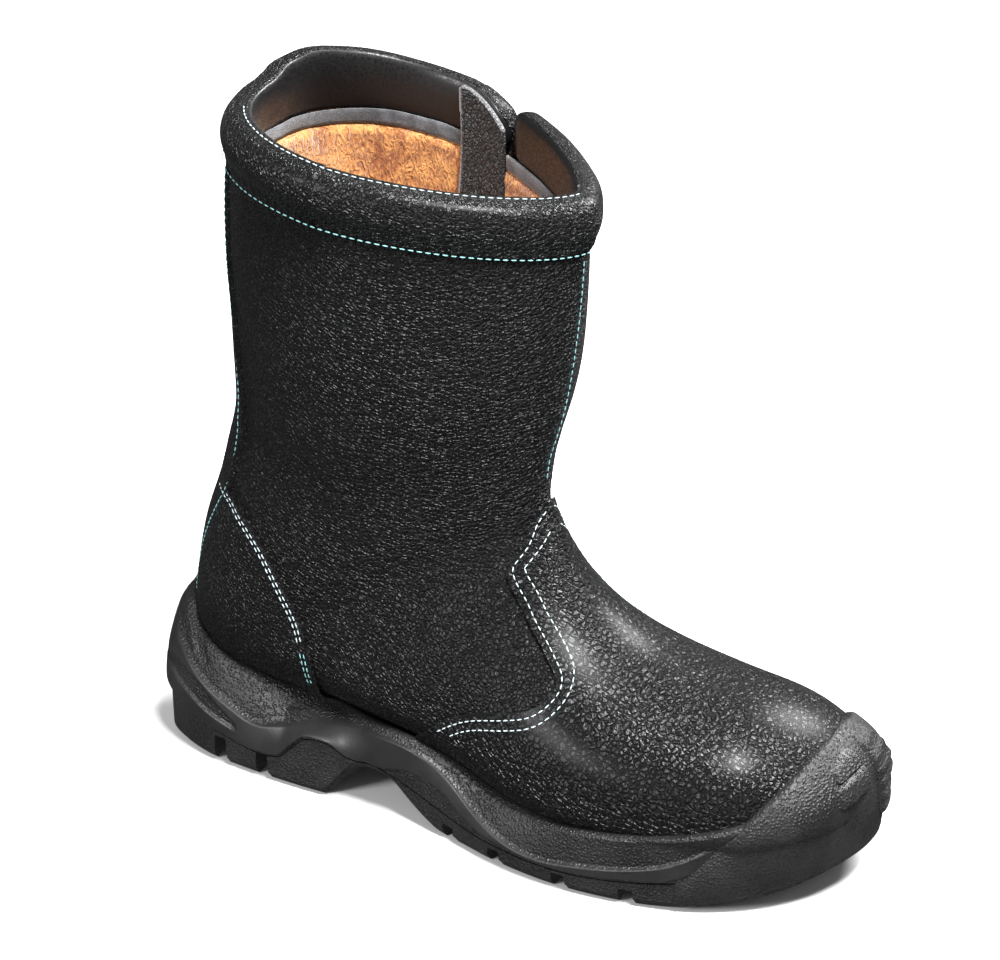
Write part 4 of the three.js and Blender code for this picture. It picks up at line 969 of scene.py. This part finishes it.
def guardPlace(u, v):
    v = np.where(v > 0.999, 0, v)
    first = guardRows[0, 0]
    loop = (first + u * (2 - 2 * first)) / 2
    point, outward, around = outlinePlace(loop)
    row = readRows(guardRows, around)
    share = np.clip(v / 0.84, 0, 1)
    bottom = treadZ(point[:, 0]) + boot["treadInset"]
    z = bottom + share * (row[:, 1] * boot["heelSeat"] - bottom)
    outer = loop < 0.5
    pads = np.maximum(*(bandInside(rows, around, z, 0.5) for rows in (upperPadRows, lowerPadRows)))
    bar = bandInside(toeBarRows, around, z, 0.8)
    lift = np.where(outer, pads, bar)
    wave = np.sin(z * 2 * np.pi / guardPiece["ribPitch"])
    ribs = np.where(outer, 0, guardPiece["ribDepth"] * bar * wave)
    body = readRows(guardSectionRows, share)[:, 1]
    lip = np.clip((v - 0.84) / 0.06, 0, 1)
    inner = np.clip((v - 0.9) / 0.09, 0, 1)
    out = sideOut(loop, z) + body * row[:, 2] * boot["guardThickness"]
    out = out + (lift * guardPiece["padLift"] + ribs) * (lip == 0)
    inset = leatherInset(loop, z)
    inset = np.where(np.isnan(inset), boot["rimWall"], inset)
    out = out + lip * (-inset - 1.0 - out)
    z = z + 0.6 * np.sin(lip * np.pi) - inner * 6
    return np.column_stack([point + outward * out[:, None], z])


guardMesh = layGrid("toeGuard", guardPiece["round"], guardPiece["levels"], guardPlace)
guard = finishPiece("toeGuard", guardMesh, outsoleRubber, (), 50)
print("toe guard", len(guardMesh.polygons))


# ---- threads: each stitch a small rounded piece, partly sunk in the leather
stitch = dict(pitch=3.1, length=2.2, radius=0.27)


def sew(name, lines, thread):
    bm = bmesh.new()
    for points, normals in lines:
        points, normals = np.asarray(points), np.asarray(normals)
        lengths = np.concatenate([[0], np.cumsum(np.linalg.norm(np.diff(points, axis=0), axis=1))])
        for at in np.arange(1.5, lengths[-1] - 1, stitch["pitch"]):
            reach = stitch["length"] / 2
            ends = [np.array([np.interp(at + d, lengths, points[:, k]) for k in range(3)]) for d in (-reach, reach)]
            normal = np.array([np.interp(at, lengths, normals[:, k]) for k in range(3)])
            z = Vector(ends[1] - ends[0]).normalized()
            x = Vector(normal).cross(z).normalized()
            y = z.cross(x)
            turnTo = Matrix((x, y, z)).transposed().to_4x4()
            centre = inFrame((ends[0] + ends[1]) / 2 + normal * 0.1)
            size = (stitch["radius"] / 1000, stitch["radius"] * 0.8 / 1000, stitch["length"] / 2000)
            bmesh.ops.create_uvsphere(bm, u_segments=6, v_segments=5, radius=1,
                                      matrix=Matrix.Translation(centre) @ turnTo @ Matrix.Diagonal((*size, 1)))
    mesh = bpy.data.meshes.new(name)
    bm.to_mesh(mesh)
    bm.free()
    return finishPiece(name, mesh, thread)


def offsetLine(line, distance):  # a line moved sideways, to its left
    step = np.gradient(line, axis=0)
    step /= np.maximum(np.linalg.norm(step, axis=1, keepdims=True), 1e-6)
    return line + np.stack([-step[:, 1], step[:, 0]], -1) * distance


def ontoSide(line, side, tree, sink=0.3):  # a line seen from the side, laid on the leather
    points, normals = [], []
    for x, z in line:
        start = inFrame((x, side * 140, z))
        hit = tree.ray_cast(Vector(start), Vector((0, -side, 0)), 0.2)
        if hit[0] is None or abs(hit[1].y) < 0.12:
            continue
        normal = np.array(hit[1]) * (1 if hit[1].y * side > 0 else -1)
        points.append(np.array(hit[0]) * 1000 + (boot["heelRest"], 0, 0) - normal * sink)
        normals.append(normal)
    return points, normals


def pickPart(line, low, high):
    return line[(line[:, 1] > low) & (line[:, 1] < high)]


white, teal = [], []
for side in (-1, 1):
    for distance, counterDistance in ((2.2, 2.0), (5.8, 3.8)):
        vampSeam = pickPart(offsetLine(vampLine[::-1], -distance)[::-1], 44, 134)
        white.append(ontoSide(vampSeam, side, formTree))
        counterSeam = pickPart(offsetLine(counterLine, -counterDistance), 45, 118)
        white.append(ontoSide(pickPart(counterSeam, 62, 118), side, formTree))
        teal.append(ontoSide(pickPart(counterSeam, 45, 62), side, formTree))
sections = np.linspace(13.2, belowTop(boot["collarHeight"] + 2), 160)
for side in (-1, 1):
    edgeTurn = []
    for section in sections:
        turns = np.linspace(0.3, 0.5, 120) if side < 0 else np.linspace(0.7, 0.5, 120)
        ring = lastPoint(turns, np.full(120, section))
        half = np.interp(ring[:, 2], levelZ(levels), stripHalf) - 2.2
        edgeTurn.append(turns[np.argmin(np.abs(np.abs(ring[:, 1]) - half))])
    seam = leatherAt(np.array(edgeTurn), sections, np.full(160, boot["overlay"] + boot["gap"]))
    seam = (seam, lastNormal(np.array(edgeTurn), sections))
    teal.append(seam)
# the front seam, just beside the middle
sections = np.linspace(13.6, belowTop(boot["collarHeight"] + 2), 160)
turns = np.full(160, 0.012)
teal.append((leatherAt(turns, sections, np.full(160, 0.1)), lastNormal(turns, sections)))
turns = np.linspace(slitStart + 0.01, slitEnd - 0.01, 700)
hem = belowTop(np.full(700, boot["collarHeight"] * 0.93))
teal.append((leatherAt(turns, hem, np.full(700, 2.9)), lastNormal(turns, hem)))
crest = np.argmin(profileLine[:, 1])
topEdge = profileLine[crest - 2]
edgeSection = belowTop(np.full(700, topEdge[1] - 0.1))
up = np.tile((0.0, 0.0, 1.0), (700, 1))
seam = leatherAt(turns, edgeSection, np.full(700, topEdge[0]))
near = (turns > -0.03) & (turns < 0.4)
white.append((seam[near], up[near]))
sew("whiteStitches", white, whiteThread)
sew("tealStitches", teal, tealThread)
print("threads")


# ---- the studio: pale floor, soft lights
for item in bpy.data.meshes:
    if item.users == 0:
        bpy.data.meshes.remove(item)
bpy.ops.mesh.primitive_plane_add(size=6, location=(0.1, 0, -0.0002))
floor = bpy.context.active_object
floor.name = "floor"
floorMaterial = newMaterial("paleFloor", (0.9, 0.9, 0.9), 0.7)[0]
floor.data.materials.append(floorMaterial)
floor.visible_glossy = False
world = bpy.data.worlds.new("studio")
bpy.context.scene.world = world
world.use_nodes = True
world.node_tree.nodes["Background"].inputs["Color"].default_value = (1, 1, 1, 1)
nodes, links = world.node_tree.nodes, world.node_tree.links
rays = nodes.new("ShaderNodeLightPath")
shine = rangeNode(world.node_tree, rays.outputs["Is Glossy Ray"], 0, 1, 0.32, 0.1)
links.new(shine, nodes["Background"].inputs["Strength"])


def softLight(name, place, aim, size, power):
    light = bpy.data.lights.new(name, "AREA")
    light.shape, light.size, light.energy = "DISK", size, power
    lamp = bpy.data.objects.new(name, light)
    bpy.context.scene.collection.objects.link(lamp)
    lamp.location = place
    lamp.rotation_euler = (Vector(aim) - Vector(place)).to_track_quat("-Z", "Y").to_euler()


softLight("keyLight", (0.7, -0.3, 1.5), (0.14, 0, 0.06), 0.5, 62)
softLight("fillLight", (-0.5, -1.5, 0.9), (0.1, 0, 0.12), 0.5, 20)
softLight("backLight", (0.5, 1.2, 1.1), (0.1, 0, 0.1), 0.6, 45)
bpy.context.scene.view_settings.view_transform = "Standard"
print("studio lit")

bpy.context.view_layer.update()
